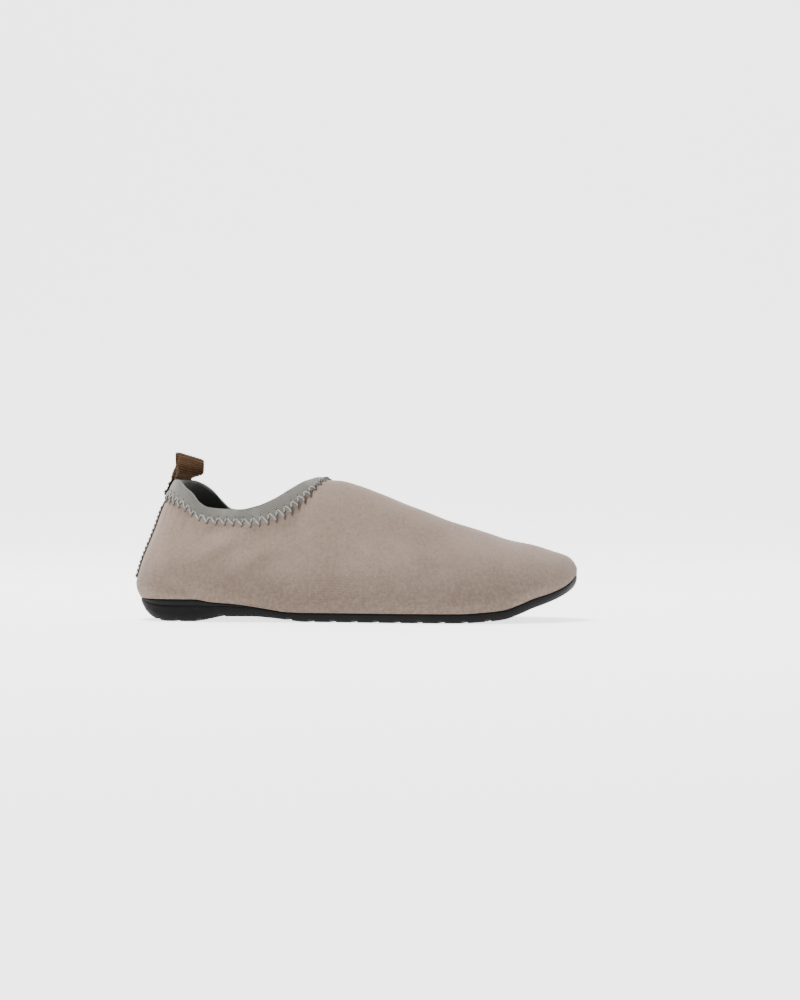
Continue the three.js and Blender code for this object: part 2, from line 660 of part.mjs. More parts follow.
// Webbing loop: its tails follow the heel, and its bow turns into its stand as it rises
function pullLoopGeometry() {
  const path = loopPath();
  const seam = upperPoint(0, 1, edgeAngle(0, 1), 0);
  const heading = THREE.MathUtils.degToRad(LOOP.heading);
  const inner = path[path.length - 1].out;
  const rows = path.map((step, i) => {
    const before = path[Math.max(i - 1, 0)];
    const after = path[Math.min(i + 1, path.length - 1)];
    const run = Math.hypot(after.out - before.out, after.up - before.up);
    const normal = { out: (after.up - before.up) / run, up: -(after.out - before.out) / run };
    const share = step.sewn ? 0 : smooth(step.up, 0, LOOP.rise * BOW.settled);
    return crossRow(LOOP.width / 2, (across, face) => {
      const out = step.out + (face * normal.out * LOOP.thickness) / 2;
      const up = step.up + (face * normal.up * LOOP.thickness) / 2;
      const point = heelPoint(seam.z + (step.sewn ? up : 0), across + LOOP.offset, -out);
      const away = out - inner;
      const x = LOOP.ahead + across * Math.cos(heading) - away * Math.sin(heading);
      const y = LOOP.beside + across * Math.sin(heading) + away * Math.cos(heading);
      point.x = lerp(point.x, seam.x + x, share);
      point.y = lerp(point.y, y, share);
      if (!step.sewn) point.z = seam.z + up - across * LOOP.slump * share;
      return point;
    });
  });
  return stripGeometry(rows);
}

const FABRIC = { color: 0xb2a59a, roughness: 0.9, metalness: 0 };
const PIECES = {
  outsole: [outsoleGeometry, { color: 0x2d2e2d, roughness: 0.75, metalness: 0 }],
  upper: [upperGeometry, FABRIC],
  insole: [insoleGeometry, { color: 0x3a3c3a, roughness: 0.95, metalness: 0 }],
  collar_binding: [bindingGeometry, { color: 0xa0a099, roughness: 0.85, metalness: 0 }],
  heel_tape: [heelTapeGeometry, { color: 0x463a34, roughness: 0.9, metalness: 0 }],
  pull_loop: [pullLoopGeometry, { color: 0x4b321c, roughness: 0.8, metalness: 0 }],
};

// Every piece, with the origin under the middle of the shoe on the floor
const shoe = new THREE.Group();
shoe.name = 'water_shoe';
for (const [name, [build, look]] of Object.entries(PIECES)) {
  const piece = new THREE.Mesh(build(), new THREE.MeshStandardMaterial(look));
  piece.name = name;
  shoe.add(piece);
}
const box = new THREE.Box3().setFromObject(shoe);
const middle = box.getCenter(new THREE.Vector3());
shoe.children.forEach((piece) => piece.geometry.translate(-middle.x, -middle.y, -box.min.z));

export default shoe;
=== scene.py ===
"""A slip-on water shoe for the right foot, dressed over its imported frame.

The shoe's own sizes are in millimetres, in stations along the sole (0 at the back of
the rubber) and heights above the floor. `Last.place` turns them into the frame's metres.
"""

import logging
import math
from dataclasses import dataclass
from enum import Enum
from typing import Callable, Sequence

import bpy
import numpy as np
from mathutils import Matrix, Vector


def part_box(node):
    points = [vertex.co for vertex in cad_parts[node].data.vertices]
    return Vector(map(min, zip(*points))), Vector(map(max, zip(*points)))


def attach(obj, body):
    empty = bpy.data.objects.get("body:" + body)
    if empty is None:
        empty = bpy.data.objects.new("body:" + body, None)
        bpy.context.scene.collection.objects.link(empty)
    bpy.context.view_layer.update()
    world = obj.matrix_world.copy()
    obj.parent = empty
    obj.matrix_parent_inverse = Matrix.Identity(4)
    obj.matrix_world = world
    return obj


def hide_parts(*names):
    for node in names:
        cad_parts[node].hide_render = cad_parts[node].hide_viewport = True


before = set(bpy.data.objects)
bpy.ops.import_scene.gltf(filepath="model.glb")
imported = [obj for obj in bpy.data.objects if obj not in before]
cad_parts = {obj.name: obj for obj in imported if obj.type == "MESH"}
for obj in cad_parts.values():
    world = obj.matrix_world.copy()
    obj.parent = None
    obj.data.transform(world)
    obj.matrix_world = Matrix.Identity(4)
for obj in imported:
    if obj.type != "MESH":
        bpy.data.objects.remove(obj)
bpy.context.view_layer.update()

log = logging.getLogger("water_shoe")
MM = 0.001
LATERAL, MEDIAL = -1.0, 1.0
HeightAt = Callable[[np.ndarray], np.ndarray]


class Body(Enum):
    """Bodies of the frame that a piece can ride on."""

    SHOE = "root"


class Slot(Enum):
    """Material slots of the record."""

    RUBBER = "sole_rubber"
    FABRIC = "stretch_fabric"
    INSOLE = "insole_foam"
    BINDING = "binding_elastic"
    TAPE = "heel_tape"
    WEBBING = "loop_webbing"


# Curves and small helpers


def smooth_step(value: np.ndarray, low: float, high: float) -> np.ndarray:
    """Returns the share of the way from low to high, eased at both ends (3t^2 - 2t^3)."""
    t = np.clip((value - low) / (high - low), 0.0, 1.0)
    return t * t * (3.0 - 2.0 * t)


def bell(value: np.ndarray, centre: float, width: float) -> np.ndarray:
    """Returns exp(-((value - centre) / width)^2), a soft hump of height 1."""
    return np.exp(-(((value - centre) / width) ** 2))


def cosine_steps(count: int) -> np.ndarray:
    """Returns count + 1 shares from 0 to 1 that crowd at both ends: (1 - cos(pi i / n)) / 2."""
    return (1.0 - np.cos(np.pi * np.arange(count + 1) / count)) / 2.0


@dataclass(frozen=True)
class TableCurve:
    """Monotone cubic through the rows of a short table: shares along, then values."""

    at: tuple[float, ...]
    values: tuple[float, ...]

    def __call__(self, along: np.ndarray) -> np.ndarray:
        """Evaluates the curve.

        Args:
            along: shares at which the curve is wanted.

        Returns:
            Hermite cubic whose slope at each row is the harmonic mean of its neighbours'.
        """
        xs, ys = np.array(self.at), np.array(self.values)
        rise = np.diff(ys) / np.diff(xs)
        both = rise[:-1] * rise[1:]
        total = rise[:-1] + rise[1:]
        inner = np.where(both > 0, 2 * both / np.where(both > 0, total, 1.0), 0.0)
        slope = np.concatenate([[rise[0]], inner, [rise[-1]]])
        x = np.clip(along, xs[0], xs[-1])
        i = np.clip(np.searchsorted(xs, x, side="left") - 1, 0, len(xs) - 2)
        step = xs[i + 1] - xs[i]
        t = (x - xs[i]) / step
        start = (1 + 2 * t) * (1 - t) ** 2 * ys[i] + t * (1 - t) ** 2 * step * slope[i]
        end = t * t * (3 - 2 * t) * ys[i + 1] + t * t * (t - 1) * step * slope[i + 1]
        return start + end


def table(*rows: tuple[float, ...]) -> list[TableCurve]:
    """Returns one curve for each value column of rows that start with their share."""
    columns = list(zip(*rows))
    return [TableCurve(columns[0], values) for values in columns[1:]]


# Plan outline: share of the length, then centre line and half width in ball widths
PLAN_CENTRE, PLAN_HALF = table(
    (0.00, 0.000, 0.335), (0.15, 0.000, 0.345), (0.25, -0.012, 0.338), (0.35, -0.030, 0.333),
    (0.45, -0.040, 0.360), (0.55, -0.035, 0.420), (0.65, -0.015, 0.475), (0.73, 0.005, 0.500),
    (0.80, 0.030, 0.493), (0.87, 0.065, 0.460), (0.94, 0.100, 0.420), (1.00, 0.125, 0.400))

# Crown: share of the length, then top in instep heights, offset in ball widths, fullness
CROWN_TOP, CROWN_OFFSET, CROWN_FULLNESS = table(
    (0.000, 1.330, 0.000, 1.00), (0.080, 1.320, 0.000, 1.00), (0.160, 1.305, 0.000, 1.00),
    (0.240, 1.260, 0.000, 0.97), (0.317, 1.135, 0.005, 0.88), (0.360, 1.050, 0.010, 0.83),
    (0.400, 1.000, 0.015, 0.80), (0.460, 0.993, 0.025, 0.80), (0.500, 0.960, 0.035, 0.81),
    (0.560, 0.890, 0.050, 0.83), (0.630, 0.802, 0.065, 0.85), (0.700, 0.717, 0.075, 0.87),
    (0.770, 0.645, 0.075, 0.89), (0.840, 0.576, 0.065, 0.91), (0.900, 0.529, 0.050, 0.94),
    (0.950, 0.486, 0.030, 0.97), (0.980, 0.450, 0.015, 1.00), (0.992, 0.415, 0.005, 1.00),
    (1.000, 0.370, 0.000, 1.00))

# Outsole: share of the length, then rim in heel cups, arch, toe spring, floor
SOLE_RIM, SOLE_ARCH, SOLE_SPRING, SOLE_FLOOR = table(
    (0.000, 1.00, 0.00, 0.00, 1.00), (0.137, 1.00, 0.00, 0.00, 1.00),
    (0.177, 0.87, 0.60, 0.00, 0.86), (0.195, 0.84, 0.93, 0.00, 0.78),
    (0.227, 0.79, 1.00, 0.00, 0.66), (0.270, 0.68, 1.00, 0.00, 0.60),
    (0.318, 0.52, 0.72, 0.00, 0.60), (0.345, 0.44, 0.42, 0.00, 0.62),
    (0.390, 0.405, 0.00, 0.00, 0.66), (0.740, 0.41, 0.00, 0.00, 0.66),
    (0.800, 0.42, 0.00, 0.04, 0.66), (0.840, 0.42, 0.00, 0.10, 0.65),
    (0.870, 0.42, 0.00, 0.225, 0.64), (0.900, 0.42, 0.00, 0.385, 0.62),
    (0.940, 0.385, 0.00, 0.565, 0.60), (0.970, 0.36, 0.00, 0.74, 0.56),
    (0.985, 0.38, 0.00, 0.86, 0.56), (1.000, 0.50, 0.00, 1.00, 0.60))

# Opening's edge: share from heel to throat, then its lateral and medial rise, and the band's fall
LATERAL_RISE, MEDIAL_RISE, COLLAR_BAND = table(
    (0.00, 1.00, 1.00, 1.35), (0.03, 1.00, 1.00, 1.35), (0.07, 0.93, 1.00, 1.33),
    (0.125, 0.78, 0.97, 1.30), (0.20, 0.585, 0.85, 1.25), (0.275, 0.28, 0.65, 1.18),
    (0.36, 0.075, 0.30, 1.05), (0.445, 0.02, 0.00, 1.02), (0.57, 0.00, -0.08, 1.00),
    (0.67, 0.11, 0.03, 0.97), (0.77, 0.34, 0.27, 0.90), (0.88, 0.72, 0.69, 0.66),
    (0.945, 0.92, 0.91, 0.38), (1.00, 1.00, 1.00, 0.00))

# Back line of the heel: height in heel heights, then lean in heel leans
(HEEL_LINE,) = table(
    (0.00, 0.000), (0.15, 0.000), (0.26, -0.038), (0.33, 0.019), (0.44, 0.120), (0.58, 0.313),
    (0.67, 0.442), (0.79, 0.605), (0.91, 0.827), (1.00, 1.000), (1.35, 1.600))


@dataclass(frozen=True)
class Last:
    """Sizes of the whole shoe in millimetres, and the surfaces worked out from them."""

    sole_length: float = 252.0
    ball_width: float = 90.0
    heel_height: float = 81.0
    collar_low: float = 64.0
    instep_height: float = 81.0
    throat_reach: float = 101.0
    heel_lean: float = 20.8
    lean_reach: float = 120.0
    heel_round: float = 30.0
    toe_round: float = 44.0
    end_power: float = 2.2
    gap: float = 0.3
    wall: float = 2.0
    margin: float = 9.0
    bulge: float = 2.1
    bulge_height: float = 9.0
    bulge_fade: tuple[float, float] = (0.86, 0.99)
    heel_cup: float = 12.4
    toe_spring: float = 20.0
    arch_lift: float = 2.8
    heel_roll: float = 9.5
    heel_roll_length: float = 19.0
    heel_roll_power: float = 2.3
    heel_dish: float = 0.62
    rim: float = 1.8
    floor: float = 5.0
    edge_round: float = 3.2
    binding_width: float = 8.0
    tape: float = 0.8
    binding_gap: float = 0.5
    halvings: int = 30

    @property
    def raised_edge(self) -> float:
        """Returns the inset of the foot bed's raised middle, inside the fabric's margin."""
        return self.rim + self.gap + self.margin + self.gap

    def spring_at(self, x: np.ndarray) -> np.ndarray:
        """Returns the toe spring's lift at station x."""
        return self.toe_spring * SOLE_SPRING(x / self.sole_length)

    def roll_at(self, x: np.ndarray) -> np.ndarray:
        """Returns the lift of the rounded back edge at station x."""
        return self.heel_roll * np.clip(
            1 - x / self.heel_roll_length, 0, 1) ** self.heel_roll_power

    def arch_at(self, x: np.ndarray) -> np.ndarray:
        """Returns the arch's lift at station x."""
        return self.arch_lift * SOLE_ARCH(x / self.sole_length)

    def bottom_at(self, x: np.ndarray) -> np.ndarray:
        """Returns the height of the underside at station x."""
        return self.roll_at(x) + self.arch_at(x) + self.spring_at(x)

    def floor_at(self, x: np.ndarray) -> np.ndarray:
        """Returns the height of the foot bed at station x."""
        thick = self.floor * SOLE_FLOOR(x / self.sole_length)
        return thick + self.heel_dish * self.roll_at(x) + self.arch_at(x) + self.spring_at(x)

    def rim_at(self, x: np.ndarray) -> np.ndarray:
        """Returns the height of the sole's rim at station x."""
        return self.heel_cup * SOLE_RIM(x / self.sole_length) + self.spring_at(x)

    def top_at(self, x: np.ndarray) -> np.ndarray:
        """Returns the height of the section's crown at station x."""
        return self.instep_height * CROWN_TOP(x / self.sole_length)

    def centre_at(self, x: np.ndarray) -> np.ndarray:
        """Returns the plan's centre line at station x."""
        return self.ball_width * PLAN_CENTRE(x / self.sole_length)

    def shifted(self, station: np.ndarray, inset: np.ndarray) -> np.ndarray:
        """Returns the station moved in from both ends by up to the inset."""
        return station + inset * (1 - 2 * station / self.sole_length)

    def half_width(self, x: np.ndarray, inset: np.ndarray) -> np.ndarray:
        """Half width of the outline that lies inset inside the sole's outline.

        Args:
            x: stations.
            inset: distance inside the sole's outline.

        Returns:
            The table's half width less the inset, times (1 - (1 - s)^p)^(1/p) for the
            share s of each rounded end that lies behind x.
        """
        heel = np.clip((x - inset) / self.heel_round, 0, 1)
        toe = np.clip((self.sole_length - inset - x) / self.toe_round, 0, 1)
        power = self.end_power
        rounded = ((1 - (1 - heel) ** power) * (1 - (1 - toe) ** power)) ** (1 / power)
        return (self.ball_width * PLAN_HALF(x / self.sole_length) - inset) * rounded

    def outline(self, station: np.ndarray, side: np.ndarray, inset: np.ndarray,
                height_at: HeightAt) -> np.ndarray:
        """Points on an outline of the sole.

        Args:
            station: places along the sole.
            side: -1 lateral, +1 medial.
            inset: distance inside the sole's outline.
            height_at: height as a function of x.

        Returns:
            Points with a last axis of x, y, z in millimetres.
        """
        x = self.shifted(station, inset)
        y = self.centre_at(x) + side * self.half_width(x, inset)
        return np.stack(np.broadcast_arrays(x, y, height_at(x)), axis=-1)

    def bulge_at(self, station: np.ndarray, height: np.ndarray) -> np.ndarray:
        """Returns the fabric's swelling over the rim: B s e^(1 - s), gone at the toe."""
        share = height / self.bulge_height
        fade = 1 - smooth_step(station / self.sole_length, *self.bulge_fade)
        return self.bulge * share * np.exp(1 - share) * fade

    def upper(self, station: np.ndarray, side: np.ndarray, theta: np.ndarray,
              inset: np.ndarray) -> np.ndarray:
        """Points on the upper's surface, or on a layer inside it.

        Each section is an arch: y runs from the edge to the crown as cos(theta)^fullness
        and z from the rim to the crown as sin(theta). The heel leans forward with height.

        Args:
            station: places along the sole.
            side: -1 lateral, +1 medial.
            theta: 0 at the rim, a right angle on the crown.
            inset: depth inside the outer surface.

        Returns:
            Points with a last axis of x, y, z in millimetres.
        """
        foot = self.rim_at(station) + self.gap
        swell = self.bulge_at(station, (self.top_at(station) - foot) * np.sin(theta))
        x = self.shifted(station, inset - swell)
        crown = self.centre_at(x) + self.ball_width * CROWN_OFFSET(x / self.sole_length)
        edge = self.centre_at(x) + side * self.half_width(x, inset - swell)
        full = CROWN_FULLNESS(x / self.sole_length)
        spread = np.maximum(np.cos(theta), 0.0) ** full
        base = self.rim_at(x) + self.gap
        z = base + (self.top_at(x) - inset - base) * np.sin(theta)
        fade = np.clip(1 - station / self.lean_reach, 0, 1) ** 2
        lean = self.heel_lean * HEEL_LINE(z / self.heel_height) * fade
        y = crown + (edge - crown) * spread
        return np.stack(np.broadcast_arrays(x + lean, y, z), axis=-1)

    def edge_angle(self, share: np.ndarray, side: np.ndarray) -> np.ndarray:
        """Angle of the opening's folded edge.

        Args:
            share: shares of the way from heel to throat.
            side: -1 lateral, +1 medial.

        Returns:
            The angle whose sine is the edge's height as a share of the crown's.
        """
        x = share * self.throat_reach
        end = np.where(share < 0.5, self.heel_height, self.instep_height)
        rise = np.where(side < 0, LATERAL_RISE(share), MEDIAL_RISE(share))
        height = self.collar_low + (end - self.collar_low) * rise
        foot = self.rim_at(x) + self.gap
        return np.arcsin(np.clip((height - foot) / (self.top_at(x) - foot), 0, 1))

    def below_edge(self, share: np.ndarray, down: np.ndarray,
                   side: np.ndarray) -> tuple[np.ndarray, np.ndarray]:
        """Places in the upper's surface a distance below the folded edge.

        Args:
            share: shares of the way from heel to throat.
            down: distance below the folded edge, in millimetres.
            side: -1 lateral, +1 medial.

        Returns:
            The stations and the angles there.
        """
        station = share * (self.throat_reach + down)
        theta = self.edge_angle(share, side)
        height = (self.top_at(station) - self.rim_at(station)) * np.cos(theta)
        reach = np.hypot(height, self.half_width(station, 0.0) * np.sin(theta))
        fall = down * COLLAR_BAND(share) / np.maximum(reach, self.binding_width)
        return station, theta - fall

    def heel_point(self, height: np.ndarray, across: np.ndarray,
                   inset: np.ndarray) -> np.ndarray:
        """Points on the back of the heel.

        Args:
            height: height above the floor.
            across: distance from the seam, positive to the medial side.
            inset: depth inside the outer surface, negative outside it.

        Returns:
            Points found by halving the range of stations until y equals across.
        """
        height, across, inset = np.broadcast_arrays(height, across, inset)
        side = np.where(across < 0, LATERAL, MEDIAL)
        foot = self.rim_at(0.0) + self.gap
        share = (height - foot) / (self.top_at(0.0) - inset - foot)
        theta = np.arcsin(np.clip(share, 0, 1))
        near, far = np.zeros(across.shape), np.full(across.shape, self.heel_round)
        for _ in range(self.halvings):
            middle = (near + far) / 2
            inside = np.abs(self.upper(middle, side, theta, inset)[..., 1]) < np.abs(across)
            near, far = np.where(inside, middle, near), np.where(inside, far, middle)
        return self.upper(near, side, theta, inset)

    def place(self) -> np.ndarray:
        """Returns the shift, in metres, from the shoe's own axes to the frame's."""
        station = self.sole_length * cosine_steps(400)
        low = self.outline(station, np.full(401, LATERAL), np.zeros(401), self.rim_at)
        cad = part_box("outsole")[0]
        return np.array([cad.x, cad.y - low[:, 1].min() * MM, 0.0])


LAST = Last()
SHIFT = LAST.place()


# Meshes from whole arrays


def new_piece(name: str, points: np.ndarray, faces: np.ndarray,
              corner_uv: np.ndarray | None = None) -> bpy.types.Object:
    """Makes a smooth-shaded object from four-cornered faces.

    Args:
        name: the object's name.
        points: (n, 3) points in the shoe's millimetres.
        faces: (m, 4) corner indices; a corner named twice makes a triangle.
        corner_uv: (m, 4, 2) surface coordinates in millimetres.

    Returns:
        The new object, at the origin, linked to the scene.
    """
    used, inverse = np.unique(faces, return_inverse=True)
    flat = points.reshape(-1, 3)[used] * MM + SHIFT
    faces = inverse.reshape(faces.shape)
    repeat = faces == np.roll(faces, -1, axis=1)
    keep = ~repeat
    totals = keep.sum(axis=1)
    mesh = bpy.data.meshes.new(name)
    mesh.vertices.add(len(flat))
    mesh.vertices.foreach_set("co", flat.ravel())
    mesh.loops.add(int(totals.sum()))
    mesh.loops.foreach_set("vertex_index", faces[keep].astype(np.int32))
    mesh.polygons.add(len(faces))
    starts = np.concatenate([[0], np.cumsum(totals)[:-1]])
    mesh.polygons.foreach_set("loop_start", starts.astype(np.int32))
    mesh.polygons.foreach_set("loop_total", totals.astype(np.int32))
    mesh.polygons.foreach_set("use_smooth", np.ones(len(faces), bool))
    if corner_uv is not None:
        layer = mesh.uv_layers.new(name="surface")
        layer.data.foreach_set("uv", corner_uv[keep].ravel().astype(np.float32))
    mesh.update(calc_edges=True)
    mesh.validate()
    piece = bpy.data.objects.new(name, mesh)
    bpy.context.scene.collection.objects.link(piece)
    return piece


def strip_faces(rings: np.ndarray, closed: bool) -> np.ndarray:
    """Faces between the rows of an index grid.

    Args:
        rings: (rows, columns) point indices, rows going up, columns anticlockwise.
        closed: whether the last column joins the first.

    Returns:
        (m, 4) faces that look outwards, in row order.
    """
    following = np.roll(rings, -1, axis=1)
    quads = np.stack([rings[:-1], following[:-1], following[1:], rings[1:]], axis=-1)
    if not closed:
        quads = quads[:, :-1]
    return quads.reshape(-1, 4)


def strip_uv(u: np.ndarray, v: np.ndarray) -> np.ndarray:
    """Surface coordinates of strip_faces' corners.

    Args:
        u: (columns + 1,) distance along each column edge.
        v: (rows,) distance up to each row.

    Returns:
        (m, 4, 2) coordinates in the order of strip_faces.
    """
    uu, vv = np.meshgrid(u, v)
    grid = np.stack([uu, vv], axis=-1)
    return np.stack([grid[:-1, :-1], grid[:-1, 1:], grid[1:, 1:], grid[1:, :-1]],
                    axis=2).reshape(-1, 4, 2)


def finish_piece(piece: bpy.types.Object, material: bpy.types.Material, slot: Slot,
                 *nodes: str) -> None:
    """Dresses a piece, hides the nodes it stands for, and reports it.

    Args:
        piece: the finished object.
        material: its material.
        slot: not used.
        nodes: CAD nodes that it replaces.
    """
    piece.data.materials.clear()
    piece.data.materials.append(material)
    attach(piece, Body.SHOE.value)
    if nodes:
        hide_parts(*nodes)
    log.info("%s: %d points, %d faces", piece.name, len(piece.data.vertices),
             len(piece.data.polygons))


# Shader nodes as expressions


class Value:
    """A shader socket whose arithmetic adds Math nodes."""

    def __init__(self, shader: "Shader", socket: bpy.types.NodeSocket) -> None:
        """Wraps one output socket of a material."""
        self.shader, self.socket = shader, socket

    def _math(self, operation: str, *inputs: "Value | float") -> "Value":
        """Returns the Math node's result for an operation and its inputs."""
        return self.shader.node("ShaderNodeMath", {"operation": operation},
                                dict(enumerate(inputs)))

    def __add__(self, other: "Value | float") -> "Value":
        """Returns the sum."""
        return self._math("ADD", self, other)

    __radd__ = __add__

    def __sub__(self, other: "Value | float") -> "Value":
        """Returns the difference."""
        return self._math("SUBTRACT", self, other)

    def __rsub__(self, other: float) -> "Value":
        """Returns the reflected difference."""
        return self._math("SUBTRACT", other, self)

    def __mul__(self, other: "Value | float") -> "Value":
        """Returns the product."""
        return self._math("MULTIPLY", self, other)

    __rmul__ = __mul__

    def __truediv__(self, other: "Value | float") -> "Value":
        """Returns the quotient."""
        return self._math("DIVIDE", self, other)

    def __rtruediv__(self, other: float) -> "Value":
        """Returns the reflected quotient."""
        return self._math("DIVIDE", other, self)

    def sine(self) -> "Value":
        """Returns the sine."""
        return self._math("SINE", self)

    def absolute(self) -> "Value":
        """Returns the size without its sign."""
        return self._math("ABSOLUTE", self)

    def wave(self, pitch: float, phase: "Value | None" = None) -> "Value":
        """Returns sin(2 pi value / pitch + phase)."""
        turns = self * (2 * math.pi / pitch)
        return (turns if phase is None else turns + phase).sine()

    def ease(self, low: float, high: float) -> "Value":
        """Returns 0 below low, 1 above high and a smooth step between."""
        return self.shader.node(
            "ShaderNodeMapRange", {"interpolation_type": "SMOOTHSTEP"},
            {"Value": self, "From Min": low, "From Max": high, "To Min": 0.0, "To Max": 1.0})


Colour = tuple[float, float, float]


class Shader:
    """One procedural material and the nodes that it is made of."""

    def __init__(self, name: str, **constants: float | tuple[float, ...]) -> None:
        """Starts a material with constant values on its shader's own sockets.

        Args:
            name: the material's name.
            constants: socket names with underscores for spaces, and their values.
        """
        self.material = bpy.data.materials.new(name)
        self.material.use_nodes = True
        self.tree = self.material.node_tree
        self.main = self.tree.nodes["Principled BSDF"]
        for key, value in constants.items():
            self.main.inputs[key.replace("_", " ")].default_value = value

    def node(self, kind: str, settings: dict[str, object] | None = None,
             inputs: dict[object, object] | None = None, output: object = 0) -> Value:
        """Adds a node.

        Args:
            kind: the node's type.
            settings: attributes, set before the inputs.
            inputs: values or links by socket name or number.
            output: the output wanted, by name or number.

        Returns:
            The output, wrapped.
        """
        made = self.tree.nodes.new(kind)
        for key, value in (settings or {}).items():
            setattr(made, key, value)
        for key, value in (inputs or {}).items():
            if isinstance(value, Value):
                self.tree.links.new(value.socket, made.inputs[key])
            else:
                made.inputs[key].default_value = value
        return Value(self, made.outputs[output])

    def place(self) -> Value:
        """Returns Object coordinates."""
        return self.node("ShaderNodeTexCoord", output="Object")

    def split(self, vector: Value) -> list[Value]:
        """Returns a vector's three components."""
        parts = self.node("ShaderNodeSeparateXYZ", None, {0: vector}).socket.node.outputs
        return [Value(self, part) for part in parts]

    def surface(self) -> list[Value]:
        """Returns the piece's own surface coordinates u and v, in millimetres."""
        return self.split(self.node("ShaderNodeUVMap", {"uv_map": "surface"}))[:2]

    def axes(self) -> list[Value]:
        """Returns Object x, y and z, in metres."""
        return self.split(self.place())

    def noise(self, scale: float, detail: float = 3.0, rough: float = 0.55) -> Value:
        """Returns Noise Texture in Object coordinates, scale in features a metre."""
        return self.node("ShaderNodeTexNoise", None, {
            "Vector": self.place(), "Scale": scale, "Detail": detail, "Roughness": rough})

    def mix(self, share: Value | float, first: Value | Colour, second: Value | Colour) -> Value:
        """Mixes two colours.

        Args:
            share: how much of the second.
            first: colour or link.
            second: colour or link.

        Returns:
            The colour between them.
        """
        first, second = (c if isinstance(c, Value) else (*c, 1.0) for c in (first, second))
        return self.node("ShaderNodeMix", {"data_type": "RGBA"},
                         {0: share, 6: first, 7: second}, output=2)

    def bump(self, height: Value, distance: float) -> Value:
        """Returns a normal bent by a height whose full swing is distance metres."""
        return self.node("ShaderNodeBump", None, {
            "Height": height, "Distance": distance, "Strength": 1.0})

    def feed(self, **links: Value) -> bpy.types.Material:
        """Links varying values to the shader and returns the finished material."""
        for key, value in links.items():
            self.tree.links.new(value.socket, self.main.inputs[key.replace("_", " ")])
        return self.material


@dataclass(frozen=True)
class KnitFabric:
    """Fine stretch knit: taupe, heathered all over, with painted light on the toe's top and
    painted shade low down.
    """

    face: Colour = (0.232, 0.168, 0.128)
    # Paler colour: used for mottle and flecks, and for the painted light on the toe's top.
    pale: Colour = (0.350, 0.268, 0.215)
    # Darkest colour: used for the dark flecks and grain, and for the painted shade low down.
    shade: Colour = (0.080, 0.055, 0.041)
    wale: float = 0.9
    course: float = 0.8
    loop_bend: float = 1.6
    mottle: float = 26.0
    heather: float = 520.0
    grain: float = 900.0
    relief: float = 0.00022
    # Heights in metres of the painted shade: full at the floor, gone at the top of the span.
    low: tuple[float, float] = (0.0, 0.050)
    # Stations, then heights, in metres of the painted light on the toe's top.
    toe: tuple[float, float] = (0.055, 0.120)
    painted_light_toe_heights: tuple[float, float] = (0.022, 0.040)

    def material(self) -> bpy.types.Material:
        """Returns the knit: rows of fine V loops in relief, with fine flecks over mottling,
        painted light on the toe's top and painted shade low down.
        """
        shader = Shader("stretch_knit", Sheen_Weight=0.08, Sheen_Roughness=0.5,
                        Specular_IOR_Level=0.25)
        u, v = shader.surface()
        along = u.wave(self.wale)
        up = v.wave(self.wale * self.course, along.absolute() * self.loop_bend)
        knit = along.absolute() * 0.5 + up * 0.35
        cloud = shader.noise(self.mottle, 4.0)
        grain = shader.noise(self.grain, 3.0, 0.7)
        x, _, z = shader.axes()
        # Painted shade: this mask darkens the knit towards the floor.
        low = 1 - z.ease(*self.low)
        # Painted light: this mask pales the top of the toe.
        toe = x.ease(*self.toe) * z.ease(*self.painted_light_toe_heights)
        # Mottle and the painted light on the toe's top both mix towards the paler colour.
        base = shader.mix(cloud.ease(0.35, 0.7) * 0.50 + toe * 0.45, self.face, self.pale)
        # Painted shade mixed in low down.
        base = shader.mix(low * 0.85, base, self.shade)
        base = shader.mix(grain.ease(0.4, 0.75) * 0.20, base, self.shade)
        fleck = shader.noise(self.heather, 4.0, 0.7)
        base = shader.mix(fleck.ease(0.42, 0.68) * 0.20, base, self.pale)
        base = shader.mix((1 - fleck.ease(0.32, 0.52)) * 0.16, base, self.shade)
        base = shader.mix(knit.ease(-0.2, 0.75) * 0.10, base, self.pale)
        return shader.feed(Base_Color=base, Roughness=cloud * 0.08 + 0.84,
                           Normal=shader.bump(knit * 0.4 + grain + fleck, self.relief))


@dataclass(frozen=True)
class LiningCloth:
    """Dark grey-green brushed lining."""

    base: Colour = (0.022, 0.025, 0.020)
    worn: Colour = (0.050, 0.053, 0.044)
    mottle: float = 40.0
    grain: float = 1100.0
    relief: float = 0.00015

    def material(self) -> bpy.types.Material:
        """Returns brushed cloth with a fine grain."""
        shader = Shader("lining_cloth", Roughness=0.95, Sheen_Weight=0.3)
        grain = shader.noise(self.grain, 3.0, 0.7)
        cloud = shader.noise(self.mottle)
        colour = shader.mix(cloud.ease(0.35, 0.7) * 0.6 + grain * 0.2, self.base, self.worn)
        return shader.feed(Base_Color=colour, Normal=shader.bump(grain, self.relief))


@dataclass(frozen=True)
class SoleRubber:
    """Near-black moulded rubber with a fine matt grain."""

    base: Colour = (0.005, 0.005, 0.005)
    dusty: Colour = (0.014, 0.013, 0.012)
    mottle: float = 55.0
    grain: float = 1600.0
    relief: float = 0.0001

    def material(self) -> bpy.types.Material:
        """Returns rubber that is dustier and rougher in soft patches."""
        shader = Shader("sole_rubber", Specular_IOR_Level=0.10)
        grain = shader.noise(self.grain, 2.0, 0.6)
        cloud = shader.noise(self.mottle, 5.0, 0.65)
        colour = shader.mix(cloud.ease(0.45, 0.8) * 0.7, self.base, self.dusty)
        return shader.feed(Base_Color=colour, Roughness=cloud * 0.25 + 0.5,
                           Normal=shader.bump(grain + cloud, self.relief))


